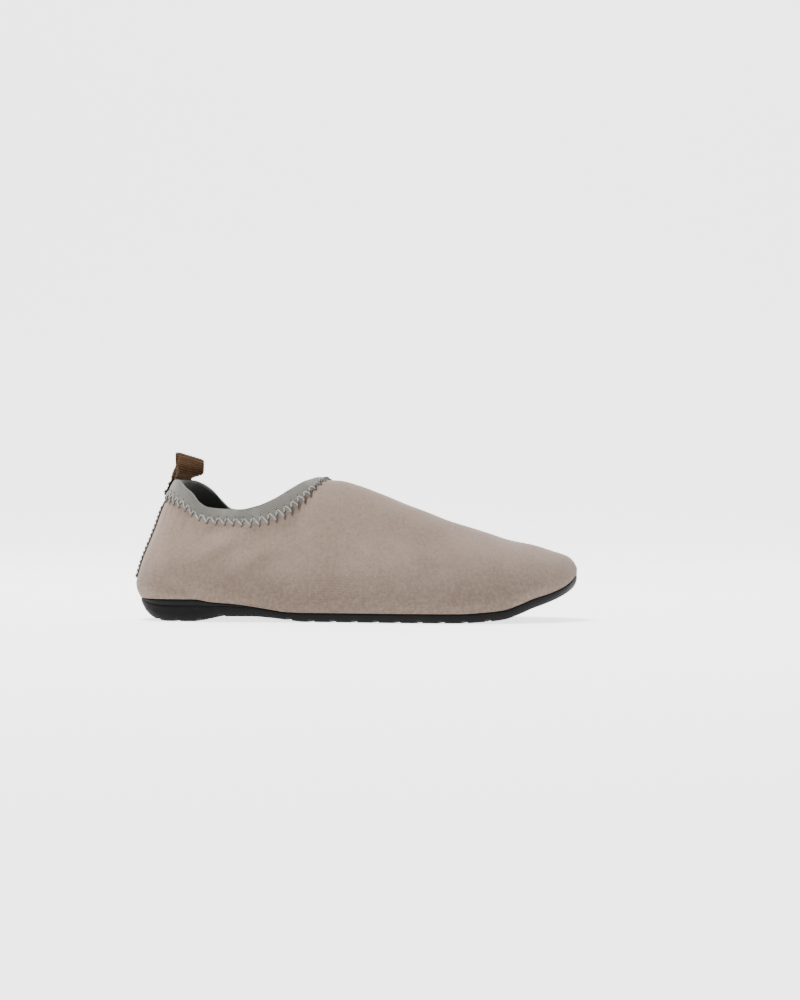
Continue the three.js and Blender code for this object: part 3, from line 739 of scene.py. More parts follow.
@dataclass(frozen=True)
class FoamCloth:
    """Dark cloth-faced foam of the insole."""

    base: Colour = (0.045, 0.048, 0.044)
    worn: Colour = (0.085, 0.088, 0.080)
    threads: float = 5200.0
    mottle: float = 35.0
    relief: float = 0.0001

    def material(self) -> bpy.types.Material:
        """Returns a close weave over foam."""
        shader = Shader("insole_foam", Roughness=0.95)
        x, y, _ = shader.axes()
        weave = (x * self.threads).sine() * (y * self.threads).sine()
        cloud = shader.noise(self.mottle)
        colour = shader.mix(cloud.ease(0.35, 0.75), self.base, self.worn)
        return shader.feed(Base_Color=colour, Normal=shader.bump(weave, self.relief))


@dataclass(frozen=True)
class BindingElastic:
    """Light grey folded elastic with fine ribs along it, dark on the side next to the foot."""

    face: Colour = (0.205, 0.198, 0.172)
    pale: Colour = (0.290, 0.280, 0.248)
    deep: Colour = (0.080, 0.076, 0.063)
    lined: Colour = (0.035, 0.038, 0.031)
    inside: tuple[float, float] = (12.3, 14.2)
    rib: float = 0.62
    pick: float = 0.9
    mottle: float = 70.0
    relief: float = 0.00016

    def material(self) -> bpy.types.Material:
        """Returns ribs along the tape crossed by close threads."""
        shader = Shader("binding_elastic", Roughness=0.8, Sheen_Weight=0.2)
        u, v = shader.surface()
        ribs = v.wave(self.rib)
        picks = u.wave(self.rib * self.pick, ribs * 0.8)
        height = ribs * 0.5 + picks * 0.35
        cloud = shader.noise(self.mottle, 4.0)
        colour = shader.mix(height.ease(-0.7, 0.8), self.deep, self.face)
        colour = shader.mix(cloud.ease(0.4, 0.75) * 0.5, colour, self.pale)
        colour = shader.mix(v.ease(*self.inside), colour, self.lined)
        return shader.feed(Base_Color=colour, Normal=shader.bump(height, self.relief))


@dataclass(frozen=True)
class Thread:
    """Twisted sewing thread."""

    name: str
    colour: Colour
    dark_share: float = 0.45
    twist: float = 2200.0
    relief: float = 0.0001

    def material(self) -> bpy.types.Material:
        """Returns thread with small changes of tone."""
        shader = Shader(self.name, Roughness=0.7, Sheen_Weight=0.2)
        tone = shader.noise(self.twist, 2.0, 0.6)
        dark = tuple(self.dark_share * c for c in self.colour)
        colour = shader.mix(tone.ease(0.35, 0.65), dark, self.colour)
        return shader.feed(Base_Color=colour, Normal=shader.bump(tone, self.relief))


@dataclass(frozen=True)
class HeelTapeCloth:
    """Dark brown woven tape."""

    base: Colour = (0.060, 0.042, 0.032)
    worn: Colour = (0.150, 0.118, 0.095)
    twill: float = 0.9
    cross: float = 2.3
    grain: float = 420.0
    relief: float = 0.00018

    def material(self) -> bpy.types.Material:
        """Returns a twill weave."""
        shader = Shader("heel_tape_cloth", Roughness=0.9)
        u, v = shader.surface()
        twill = (u + v).wave(self.twill) + (u - v).wave(self.cross) * 0.4
        tone = shader.noise(self.grain, 3.0, 0.7)
        colour = shader.mix(twill.ease(-0.6, 1.2) * 0.5 + tone.ease(0.5, 0.8) * 0.5,
                            self.base, self.worn)
        return shader.feed(Base_Color=colour, Normal=shader.bump(twill + tone, self.relief))


@dataclass(frozen=True)
class LoopWebbing:
    """Brown webbing with ribs across it."""

    base: Colour = (0.050, 0.022, 0.007)
    light: Colour = (0.150, 0.078, 0.032)
    rib: float = 1.5
    warp: float = 0.75
    mottle: float = 300.0
    relief: float = 0.00022

    def material(self) -> bpy.types.Material:
        """Returns ribs across the webbing, each of short slanted threads."""
        shader = Shader("loop_webbing", Roughness=0.7, Specular_IOR_Level=0.25)
        u, v = shader.surface()
        ribs = v.wave(self.rib)
        height = ribs * 0.7 + u.wave(self.warp, ribs * 1.4) * 0.3
        tone = shader.noise(self.mottle, 3.0)
        colour = shader.mix(height.ease(-0.4, 1.0) * 0.6 + tone.ease(0.5, 0.8) * 0.3,
                            self.base, self.light)
        return shader.feed(Base_Color=colour, Normal=shader.bump(height, self.relief))


# The upper


@dataclass(frozen=True)
class Crease:
    """A soft fold in the fabric, from one place in the side view to another.

    Across its line the fold is a trough -d e^(-(t/w)^2) between two shoulders of 0.35 d.
    """

    start: tuple[float, float]
    end: tuple[float, float]
    depth: float
    width: float
    bend: float = 0.0
    side: float = 0.0

    def height(self, x: np.ndarray, z: np.ndarray, side: np.ndarray) -> np.ndarray:
        """Relief of the fold.

        Args:
            x: stations.
            z: heights.
            side: -1 lateral, +1 medial.

        Returns:
            Outward displacement in millimetres, negative in the trough.
        """
        start, end = np.array(self.start), np.array(self.end)
        length = float(np.hypot(*(end - start)))
        ahead = (end - start) / length
        dx, dz = x - start[0], z - start[1]
        s = (dx * ahead[0] + dz * ahead[1]) / length
        t = dz * ahead[0] - dx * ahead[1] - self.bend * (1 - (2 * s - 1) ** 2)
        ends = smooth_step(s, -0.15, 0.3) * (1 - smooth_step(s, 0.7, 1.15))
        shoulders = bell(t, 1.7 * self.width, self.width) + bell(t, -1.7 * self.width, self.width)
        share = 1.0 if self.side == 0 else smooth_step(side * self.side, -0.5, 0.5)
        return self.depth * ends * share * (0.35 * shoulders - bell(t, 0.0, self.width))


@dataclass(frozen=True)
class Upper:
    """Fabric shell of vamp and quarters with its lining."""

    rear: int = 96
    front: int = 110
    rows: int = 92
    face: float = 1.15
    lining_start: float = 1.3
    foot_crowding: float = 1.3
    crown_crowding: float = 1.5
    swell: float = 0.28
    slow_waves: tuple[float, ...] = (9.0, 13.0, 8.0, 21.0)
    quick_waves: tuple[float, ...] = (4.6, 6.0, 9.0, 11.0)
    pucker: float = 0.40
    pucker_pitch: float = 5.0
    pucker_reach: float = 9.0
    creases: tuple[Crease, ...] = (
        Crease((30, 30), (62, 49), 0.80, 5.0, 2.0),
        Crease((52, 22), (88, 44), 0.75, 5.5, 3.0),
        Crease((84, 38), (122, 50), 0.80, 5.0, 3.0),
        Crease((112, 66), (140, 58), 0.75, 4.0, -2.0),
        Crease((120, 52), (160, 44), 0.70, 5.0, 2.0),
        Crease((150, 26), (196, 36), 0.75, 5.0, -2.0),
        Crease((12, 22), (34, 16), 0.55, 4.0, 1.0),
    )

    def columns(self) -> tuple[np.ndarray, np.ndarray, np.ndarray]:
        """Returns each column's station, edge angle and side: heel, lateral, toe, medial."""
        depth = LAST.tape + LAST.binding_gap
        share = cosine_steps(self.rear)
        first = LAST.throat_reach + depth
        ahead = first + (LAST.sole_length - first) * cosine_steps(self.front)[1:]
        places = []
        for side in (LATERAL, MEDIAL):
            station, theta = LAST.below_edge(share, depth, np.full_like(share, side))
            places.append(np.stack([np.concatenate([station, ahead]),
                                    np.concatenate([theta, np.full(self.front, math.pi / 2)]),
                                    np.full(self.rear + self.front + 1, side)]))
        return tuple(np.concatenate([places[0], places[1][:, -2:0:-1]], axis=1))

    def wall(self, inset: float) -> np.ndarray:
        """Returns (rows, columns, 3) points of one layer from the rim to the top edge."""
        station, theta, side = self.columns()
        t = np.linspace(0, 1, self.rows)[:, None]
        share = t ** self.foot_crowding * (1 - t) + (1 - (1 - t) ** self.crown_crowding) * t
        return LAST.upper(station, side, theta * share, np.full_like(station, inset))

    def relief(self) -> np.ndarray:
        """Returns (rows, columns, 3) displacements: folds, puckers and slow swelling."""
        station, _, side = self.columns()
        points = self.wall(0.0)
        along = np.roll(points, -1, axis=1) - np.roll(points, 1, axis=1)
        normal = np.cross(along, np.gradient(points, axis=0))
        normal /= np.maximum(np.linalg.norm(normal, axis=-1, keepdims=True), 1e-9)
        x, y, z = points[..., 0], points[..., 1], points[..., 2]
        steps = np.linalg.norm(np.diff(points, axis=0), axis=-1)
        fall = np.concatenate([np.cumsum(steps[::-1], axis=0)[::-1], np.zeros((1, len(station)))])
        rise = fall[:1] - fall
        sideways = np.clip(y / 20, -1, 1)
        height = sum(crease.height(x, z, sideways) for crease in self.creases)
        a, b, c, d = self.slow_waves
        slow = np.sin(x / a + y / b) * np.sin(z / c - x / d)
        a, b, c, d = self.quick_waves
        quick = np.sin(x / a - z / b) * np.sin(y / c + z / d)
        height = height + self.swell * (slow + 0.6 * quick)
        edge = np.cumsum(np.linalg.norm(points[-1] - np.roll(points[-1], 1, axis=0), axis=-1))
        opening = 1 - smooth_step(station, LAST.throat_reach - 3, LAST.throat_reach + 6)
        depth = fall - LAST.binding_width
        teeth = np.cos(2 * np.pi * edge / self.pucker_pitch) + 0.5 * np.cos(
            2 * np.pi * edge / (2.7 * self.pucker_pitch) + 1.0)
        near = np.exp(-np.maximum(depth, 0.0) / self.pucker_reach)
        free = smooth_step(fall, 6.0, 11.0) * opening + (1 - opening)
        height = height * free + self.pucker * teeth * near * opening * smooth_step(fall, 5.0, 8.5)
        height = height * smooth_step(rise, 0.0, 5.0)
        ends = smooth_step(station, 0.0, 6.0) * (1 - 0.7 * smooth_step(station, 225.0, 250.0))
        return normal * (height * ends)[..., None]

    def shell(self, outer: float, inner: float) -> tuple[np.ndarray, np.ndarray, np.ndarray]:
        """A closed shell between two depths in the wall.

        Args:
            outer: depth of its outer face.
            inner: depth of its inner face.

        Returns:
            Points, faces and surface coordinates.
        """
        station, theta, side = self.columns()
        tuck = LAST.rim + LAST.gap
        bend = self.relief()

        def low(inset: float, lift: float) -> np.ndarray:
            """Returns a row in the cup of the sole, lift above the foot bed."""
            return LAST.outline(station, side, np.full_like(station, inset),
                                lambda x: LAST.floor_at(x) + lift)

        def under(inset: float) -> np.ndarray:
            """Returns a row just inside the rim, at its height."""
            return LAST.outline(station, side, np.full_like(station, inset),
                                lambda x: LAST.rim_at(x) + LAST.gap)

        up = [low(tuck + outer, 1.0), under(tuck + outer), *(self.wall(outer) + bend)]
        down = [*(self.wall(inner) + bend)[:1:-1], under(tuck + inner), low(tuck + inner, 1.0)]
        points = np.array(up + down)
        count, top = len(station), len(up) - 1
        rings = np.arange(points.shape[0] * count).reshape(points.shape[:2])
        column = np.arange(count)
        toe = self.rear + self.front
        shared = column[(column > toe) & (count - column >= self.rear)]
        rings[top:top + 2, shared] = rings[top:top + 2, count - shared]
        ring_u = np.concatenate([[0], np.cumsum(np.linalg.norm(
            np.roll(points[2], -1, axis=0) - points[2], axis=-1))])
        row_v = np.concatenate([[0], np.cumsum(np.linalg.norm(
            np.diff(points[:, self.rear // 2], axis=0), axis=-1)), [0]])
        looped = np.concatenate([rings, rings[:1]])
        faces, uv = strip_faces(looped, True), strip_uv(ring_u, row_v)
        forward = np.minimum(column, count - column)
        closed = np.maximum(forward, np.roll(forward, -1)) > self.rear
        keep = np.ones(faces.shape[0], bool).reshape(-1, count)
        keep[top, closed] = False
        return points, faces[keep.ravel()], uv[keep.ravel()]

    def build(self) -> list[bpy.types.Object]:
        """Builds and dresses the fabric and its lining."""
        fabric = new_piece("upper_shell", *self.shell(0.0, self.face))
        finish_piece(fabric, KnitFabric().material(), Slot.FABRIC, "upper")
        lining = new_piece("lining", *self.shell(self.lining_start, LAST.wall))
        finish_piece(lining, LiningCloth().material(), Slot.FABRIC)
        return [fabric, lining]


# Sole and insole


@dataclass(frozen=True)
class Level:
    """One row of a stacked body: an outline, drawn in towards the centre line by a share."""

    inset: float
    height_at: HeightAt
    share: float = 1.0


def stacked(levels: Sequence[Level], steps: int) -> tuple[np.ndarray, np.ndarray]:
    """A closed body from rows that start and end on the centre line.

    Args:
        levels: rows from the middle of the underside round to the middle of the top.
        steps: columns on each side.

    Returns:
        (rows, columns, 3) points and (m, 4) faces.
    """
    station = LAST.sole_length * cosine_steps(steps)
    station = np.concatenate([station, station[-2:0:-1]])
    column = np.arange(2 * steps)
    side = np.where(column <= steps, LATERAL, MEDIAL)
    rows = []
    for level in levels:
        edge = LAST.outline(station, side, np.full_like(station, level.inset), level.height_at)
        centre = LAST.centre_at(edge[:, 0])
        edge[:, 1] = centre + (edge[:, 1] - centre) * level.share
        rows.append(edge)
    rings = np.arange(len(levels) * 2 * steps).reshape(len(levels), -1)
    for row in (0, -1):
        rings[row, steps + 1:] = rings[row, steps - 1:0:-1]
    return np.array(rows), strip_faces(rings, True)


@dataclass(frozen=True)
class Outsole:
    """Moulded rubber cup sole with a chevron tread."""

    steps: int = 560
    lug_depth: float = 1.4
    groove_width: float = 3.2
    groove_pitch: float = 13.0
    groove_angle: float = 14.0
    groove_soft: float = 0.3
    treads: tuple[tuple[float, int], ...] = ((18.6, 4), (96.0, 10))
    edge_share: float = 0.6
    edge_rise: float = 1.3
    line_depth: float = 0.28
    side_rows: tuple[tuple[float, int], ...] = (
        (0.15, 0), (0.3, 0), (0.45, 0), (0.56, 0), (0.62, 1), (0.70, 1), (0.76, 0), (0.88, 0),
        (1.0, 0))
    rim_drop: float = 0.3
    bed_round: float = 0.5
    pad_bevel: float = 0.4

    def tread(self, points: np.ndarray) -> np.ndarray:
        """Cuts the grooves into the underside and the lower edge.

        Args:
            points: (rows, columns, 3) points of the outside.

        Returns:
            The points, those in a groove raised to its root.
        """
        x, y, z = points[..., 0], points[..., 1], points[..., 2]
        sweep = math.radians(self.groove_angle)
        swept = x + np.abs(y - LAST.centre_at(x)) * math.tan(sweep)
        inside = np.zeros_like(x)
        for first, count in self.treads:
            nearest = np.clip(np.round((swept - first) / self.groove_pitch), 0, count - 1)
            off = np.abs(swept - first - nearest * self.groove_pitch) * math.cos(sweep)
            half = self.groove_width / 2
            cut = 1 - smooth_step(off, half - self.groove_soft, half + self.groove_soft)
            inside = np.maximum(inside, cut)
        root = LAST.bottom_at(x) + self.lug_depth
        raised = np.where(z < root, z + (root - z) * inside, z)
        return np.stack([x, y, raised], axis=-1)

    def levels(self) -> tuple[list[Level], int]:
        """Lists the body's rows.

        Returns:
            The rows, and how many of them the tread can reach.
        """
        def radius(x: np.ndarray) -> np.ndarray:
            """Returns the lower edge's rounding, limited by the side's height."""
            side = LAST.rim_at(x) - LAST.bottom_at(x)
            return np.minimum(LAST.edge_round, self.edge_share * side)

        def rounding(turn: float) -> HeightAt:
            """Returns the height of the rounded lower edge at a turn."""
            return lambda x: LAST.bottom_at(x) + self.edge_rise * radius(x) * (
                1 - math.cos(turn))

        def side(share: float) -> HeightAt:
            """Returns a height part of the way up the side."""
            return lambda x: (1 - share) * (LAST.bottom_at(x) + self.edge_rise * radius(x)) + (
                share * (LAST.rim_at(x) - self.rim_drop))

        def bed(lift: float) -> HeightAt:
            """Returns the foot bed's height with a lift."""
            return lambda x: LAST.floor_at(x) + lift

        under = [Level(LAST.edge_round, LAST.bottom_at, s) for s in np.linspace(0, 1, 26)]
        turns = np.linspace(0, math.pi / 2, 9)[1:]
        edge = [Level(LAST.edge_round * (1 - math.sin(t)), rounding(t)) for t in turns]
        wall = [Level(self.line_depth * deep, side(share)) for share, deep in self.side_rows]
        inner = [Level(0.12, lambda x: LAST.rim_at(x) - 0.08), Level(0.35, LAST.rim_at),
                 Level(LAST.rim - 0.2, LAST.rim_at), Level(LAST.rim, bed(self.bed_round)),
                 Level(LAST.rim + self.bed_round, bed(0.0)), Level(LAST.raised_edge, bed(0.0))]
        top = LAST.raised_edge + self.pad_bevel, bed(LAST.gap + LAST.wall)
        lid = [Level(*top, share) for share in (1.0, 0.66, 0.33, 0.0)]
        return under + edge + wall + inner + lid, len(under) + len(edge) + 2

    def build(self) -> list[bpy.types.Object]:
        """Builds and dresses the outsole."""
        levels, reach = self.levels()
        points, faces = stacked(levels, self.steps)
        points[:reach] = self.tread(points[:reach])
        sole = new_piece("outsole_rubber", points, faces)
        finish_piece(sole, SoleRubber().material(), Slot.RUBBER, "outsole")
        return [sole]


@dataclass(frozen=True)
class Insole:
    """Foam sheet with a soft edge."""

    steps: int = 200
    thickness: float = 3.0
    dish: float = 0.5
    edge: tuple[tuple[float, float], ...] = (
        (1.4, 0.0), (0.4, 0.3), (0.1, 0.9), (0.0, 1.6), (0.05, 2.2), (0.25, 2.65), (0.7, 2.92),
        (1.5, 3.0))

    def build(self) -> list[bpy.types.Object]:
        """Builds and dresses the insole."""
        raised = LAST.raised_edge + Outsole.pad_bevel
        side = LAST.rim + LAST.gap + LAST.wall + 3 * LAST.gap
        seat = 2 * LAST.gap + LAST.wall

        def above(lift: float) -> HeightAt:
            """Returns the height at a lift above the seat."""
            return lambda x: LAST.floor_at(x) + seat + lift

        under = [Level(raised, above(0.0), s) for s in (0.0, 0.35, 0.7, 1.0)]
        edge = [Level(side + inset, above(lift)) for inset, lift in self.edge]
        lid = [Level(side + self.edge[-1][0], above(self.thickness - self.dish * (1 - s * s)), s)
               for s in np.linspace(0.94, 0.0, 14)]
        foam = new_piece("insole_foam", *stacked(under + edge + lid, self.steps))
        finish_piece(foam, FoamCloth().material(), Slot.INSOLE, "insole")
        return [foam]


# Collar


THREAD_SIDES = 6
THREAD_SQUASH = 0.75


def threads(name: str, paths: np.ndarray, outward: np.ndarray,
            radius: float) -> bpy.types.Object:
    """Many short six-sided threads in one mesh, flatter across the cloth than along it.

    Args:
        name: the object's name.
        paths: (threads, steps, 3) centre lines in millimetres.
        outward: (threads, steps, 3) directions away from the cloth.
        radius: half thickness along the cloth.

    Returns:
        The object. Each thread narrows to its ends as (1 - s^4)^(1/2), with s from -1 to 1.
    """
    count, steps, _ = paths.shape
    ahead = np.gradient(paths, axis=1)
    ahead /= np.maximum(np.linalg.norm(ahead, axis=-1, keepdims=True), 1e-9)
    across = np.cross(ahead, outward)
    across /= np.maximum(np.linalg.norm(across, axis=-1, keepdims=True), 1e-9)
    out = np.cross(across, ahead)
    turn = 2 * np.pi * np.arange(THREAD_SIDES) / THREAD_SIDES
    s = np.linspace(-1, 1, steps)
    size = radius * np.maximum(np.sqrt(1 - s ** 4), 0.25)[None, :, None, None]
    ring = (across[:, :, None] * np.cos(turn)[:, None]
            + THREAD_SQUASH * out[:, :, None] * np.sin(turn)[:, None])
    points = paths[:, :, None] + size * ring
    index = np.arange(points.size // 3).reshape(count, steps, THREAD_SIDES)
    after = np.roll(index, -1, axis=2)
    walls = np.stack([index[:, :-1], after[:, :-1], after[:, 1:], index[:, 1:]], axis=-1)
    start, end = index[:, 0], index[:, -1]
    caps = [start[:, [3, 2, 1, 0]], start[:, [5, 4, 3, 0]],
            end[:, [0, 1, 2, 3]], end[:, [0, 3, 4, 5]]]
    faces = np.concatenate([walls.reshape(-1, 4), *caps])
    return new_piece(name, points.reshape(-1, 3), faces[:, ::-1])


@dataclass(frozen=True)
class Stitch:
    """Stitch repeated round the collar: ends as place in the pitch and distance down."""

    name: str
    start: tuple[float, float]
    end: tuple[float, float]
    radius: float
    lift: float
    dark: bool = False


@dataclass(frozen=True)
class Collar:
    """Folded elastic round the opening, the cover stitch that holds it, dark strokes along its
    lower edge and painted shade in its needle holes.
    """

    steps: int = 320
    pitch: float = 5.0
    puff: float = 0.35
    lace: float = 0.45
    laced: tuple[float, float] = (3.5, 7.0)
    hole_depth: float = 0.55
    valley_row: float = 7.0
    valley_depth: float = 0.35
    hole_row: float = 5.3
    stitches: tuple[Stitch, ...] = (
        Stitch("cover_stitch_down", (0.0, 5.3), (0.46, 8.6), 0.42, 0.3),
        Stitch("cover_stitch_up", (0.5, 8.6), (0.96, 5.3), 0.42, 0.3),
        # Dark short strokes slanting across the band's lower edge.
        Stitch("edge_dark_strokes", (0.85, 7.0), (0.22, 9.6), 0.72, 0.3, True),
        # Painted shade: short dark threads across each needle hole stand for the shade in the
        # holes.
        Stitch("needle_hole_painted_shade", (0.06, 4.8), (-0.16, 5.8), 0.34, 0.08, True))
    light: Thread = Thread("light_thread", (0.40, 0.39, 0.35))
    # Dark colour of the edge strokes and of the painted shade in the needle holes.
    dark: Thread = Thread("dark_strokes_and_hole_shade", (0.060, 0.042, 0.032))

    def around(self) -> tuple[np.ndarray, np.ndarray, float]:
        """Returns shares round the edge (0 to 1 lateral, 1 to 2 medial), arc and pitch."""
        share = cosine_steps(self.steps)
        turn = np.concatenate([share, 2 - share[-2::-1]])
        points = self.at(turn, LAST.binding_width, 0.0)
        arc = np.concatenate([[0], np.cumsum(np.linalg.norm(np.diff(points, axis=0), axis=-1))])
        return turn, arc, arc[-1] / round(arc[-1] / self.pitch)

    def at(self, turn: np.ndarray, down: np.ndarray | float,
           inset: np.ndarray | float) -> np.ndarray:
        """Points of the opening's wall.

        Args:
            turn: 0 at the heel, 1 at the throat, 2 at the heel again by the medial side.
            down: distance below the folded edge.
            inset: depth inside the outer surface.

        Returns:
            Points with a last axis of x, y, z in millimetres.
        """
        turn, down, inset = np.broadcast_arrays(turn, down, inset)
        share, side = np.where(turn <= 1, turn, 2 - turn), np.where(turn < 1, LATERAL, MEDIAL)
        station, theta = LAST.below_edge(share, down, side)
        return LAST.upper(station, side, theta, inset)

    def section(self) -> np.ndarray:
        """Outlines the folded tape across its length.

        Returns:
            (rows, 3): distance down, depth, and how much of the lacing each row takes, up
            the outside, over the fold and down the inside.
        """
        near, far = LAST.binding_gap, LAST.binding_gap + LAST.tape
        width, wall = LAST.binding_width, LAST.wall
        down = np.linspace(width - 0.7, far + 0.3, 16)
        swell = self.puff * np.sin(np.pi * np.clip(down / width, 0, 1)) ** 0.8
        outer = np.stack([down, -far - swell, smooth_step(down, *self.laced)], axis=-1)
        turn = np.linspace(0, np.pi, 15)
        fold = np.stack([far * (1 - np.sin(turn)), wall / 2 - (wall / 2 + far) * np.cos(turn),
                         0 * turn], axis=-1)
        low = [[width, -near, 1], [width + 0.15, -(near + far) / 2, 1],
               [width - 0.15, -far + 0.05, 1]]
        inner = [[2.4, wall + far, 0], [width / 2, wall + far, 0], [width - 0.5, wall + far, 0],
                 [width, wall + far - 0.2, 0], [width, wall + near, 0],
                 [width / 2, wall + near, 0], [LAST.tape, wall + near, 0],
                 [LAST.tape, -near, 0], [width / 2, -near, 0]]
        return np.concatenate([low, outer, fold, inner])

    def band(self) -> bpy.types.Object:
        """Builds the folded elastic with its laced lower edge and needle dimples."""
        turn, arc, pitch = self.around()
        turn, arc = turn[:-1], arc[:-1]
        rows = self.section()
        down, inset, laced = (rows[:, k][:, None] for k in range(3))
        phase = 2 * np.pi * arc / pitch
        scallop = 0.5 - 0.5 * np.cos(phase)
        edge = smooth_step(down, 6.0, 8.0) * laced
        hole = bell(down, self.hole_row, 0.55) * (1 - scallop) ** 6
        valley = bell(down, self.valley_row, 0.9) * scallop ** 3
        down = down + self.lace * edge * (2 * scallop - 1)
        inset = inset + laced * (self.hole_depth * hole + self.valley_depth * valley
                                 + 0.1 * scallop)
        points = self.at(turn[None, :], down, inset)
        rings = np.arange(points.size // 3).reshape(points.shape[:2])
        looped = np.concatenate([rings, rings[:1]])
        ring_u = np.concatenate([arc, [arc[-1] + pitch / 8]])
        steps = np.abs(np.diff(rows[:, 0])) + np.abs(np.diff(rows[:, 1]))
        row_v = np.concatenate([[0], np.cumsum(steps), [0]])
        return new_piece("collar_band", points, strip_faces(looped, True),
                         strip_uv(ring_u, row_v))

    def stitch(self, kind: Stitch) -> bpy.types.Object:
        """Builds one family of stitches, repeated round the edge.

        Args:
            kind: its name, ends, thread and lift.

        Returns:
            The threads.
        """
        turn, arc, pitch = self.around()
        count = round(arc[-1] / pitch)
        s = np.linspace(0, 1, 9)
        (first, high), (last, low) = kind.start, kind.end
        along = np.arange(count)[:, None] + first + (last - first) * s
        down = high + (low - high) * s + 0 * along
        where = np.interp((along * pitch) % arc[-1], arc, turn)
        band = 1 - smooth_step(down, LAST.binding_width - 0.4, LAST.binding_width + 0.5)
        top = -(LAST.binding_gap + LAST.tape) * band - 0.1
        arch = np.sin(np.pi * s)
        height = top - kind.lift * arch ** 0.5 + 0.4 * (1 - arch ** 0.25)
        paths = self.at(where, down, height)
        outward = self.at(where, down, height - 1.0) - paths
        return threads(kind.name, paths, outward, kind.radius)

    def build(self) -> list[bpy.types.Object]:
        """Builds and dresses the elastic, its stitches, its dark edge strokes and the painted
        shade in its needle holes.
        """
        band = self.band()
        finish_piece(band, BindingElastic().material(), Slot.BINDING, "collar_binding")
        light, dark = self.light.material(), self.dark.material()
        made = [band]
        for kind in self.stitches:
            made.append(self.stitch(kind))
            finish_piece(made[-1], dark if kind.dark else light, Slot.BINDING)
        return made


# Heel tape and pull loop


def ribbon(front: np.ndarray, back: np.ndarray) -> tuple[np.ndarray, np.ndarray, np.ndarray]:
    """A closed strip between a front and a back sheet.

    Args:
        front: (rows, columns, 3) points, columns running right to left as seen from outside.
        back: the same for the hidden side.

    Returns:
        Points, faces and surface coordinates.
    """
    rows, columns = front.shape[:2]
    ring = np.concatenate([front, back[:, ::-1]], axis=1)
    index = np.arange(ring.size // 3).reshape(rows, 2 * columns)
    faces = strip_faces(index, True)
    widths = np.linalg.norm(np.diff(ring[rows // 2], axis=0, append=ring[rows // 2][:1]), axis=-1)
    lengths = np.linalg.norm(np.diff(ring[:, columns // 2], axis=0), axis=-1)
    ring_u = np.concatenate([[0], np.cumsum(widths)])
    row_v = np.concatenate([[0], np.cumsum(lengths)])
    uv = strip_uv(ring_u, row_v)
    caps, cap_uv = [], []
    for row, order in ((0, [1, 0, 3, 2]), (rows - 1, [0, 1, 2, 3])):
        front_row, back_row = index[row, :columns], index[row, columns:][::-1]
        cap = np.stack([front_row[:-1], front_row[1:], back_row[1:], back_row[:-1]], axis=-1)
        caps.append(cap[:, order])
        cap_uv.append(np.full((columns - 1, 4, 2), row_v[row]))
    return ring, np.concatenate([faces, *caps]), np.concatenate([uv, *cap_uv])


@dataclass(frozen=True)
class HeelTape:
    """Dark tape over the seam down the back of the heel, with its stitching."""

    width: float = 9.0
    thickness: float = 1.1
    bottom: float = 24.0
    rows: int = 120
    columns: int = 22
    ridge: float = 0.22
    ridge_pitch: float = 2.6
    ridge_slant: float = 0.9
    thin: float = 0.35
    stitch_inset: float = 1.5
    stitch_slant: float = 0.55
    thread: float = 0.34

    def top(self) -> float:
        """Returns the height at which the tape meets the collar."""
        seam, side = np.zeros(1), np.full(1, MEDIAL)
        _, theta = LAST.below_edge(seam, np.full(1, LAST.binding_width), side)
        edge = LAST.upper(seam, side, theta, seam)
        return float(edge[0, 2]) - 2 * LAST.gap

    def build(self) -> list[bpy.types.Object]:
        """Builds and dresses the tape and a row of stitches down each edge."""
        height = np.linspace(self.bottom, self.top(), self.rows)[:, None]
        share = np.linspace(1, -1, self.columns)[None, :]
        wave = 0.35 * np.sin(height / 2.1) + 0.2 * np.sin(height / 0.9 + 1.0)
        across = share * (self.width / 2 - 0.4 + 0.5 * wave * np.abs(share))
        soft = np.clip(1 - share ** 6, 0, 1) ** 0.5
        along = height - np.abs(across) * self.ridge_slant
        ridges = np.cos(2 * np.pi * along / self.ridge_pitch)
        thick = self.thin + (self.thickness - self.thin) * soft + (
            self.ridge * soft * (ridges - 1) / 2)
        front = LAST.heel_point(height, across, -LAST.gap - thick)
        back = LAST.heel_point(height + 0 * across, across, np.full_like(across, -LAST.gap))
        tape = new_piece("heel_seam_tape", *ribbon(front, back))
        finish_piece(tape, HeelTapeCloth().material(), Slot.TAPE, "heel_tape")
        count = int((height[-1, 0] - self.bottom) / self.ridge_pitch) - 1
        starts = self.bottom + self.ridge_pitch * (0.7 + np.arange(count))
        s = np.linspace(-1, 1, 9)
        paths, outs = [], []
        for side in (LATERAL, MEDIAL):
            z = starts[:, None] + 0.42 * self.ridge_pitch * s
            y = side * (self.width / 2 - self.stitch_inset + self.stitch_slant * s) + 0 * z
            lift = -LAST.gap - self.thickness - 0.18 * np.sqrt(1 - s ** 2) + 0 * z
            path = LAST.heel_point(z, y, lift)
            paths.append(path)
            outs.append(LAST.heel_point(z, y, lift - 1.0) - path)
        stitching = threads("heel_stitching", np.concatenate(paths), np.concatenate(outs),
                            self.thread)
        finish_piece(stitching, Thread("tan_thread", (0.20, 0.150, 0.110)).material(), Slot.TAPE)
        return [tape, stitching]


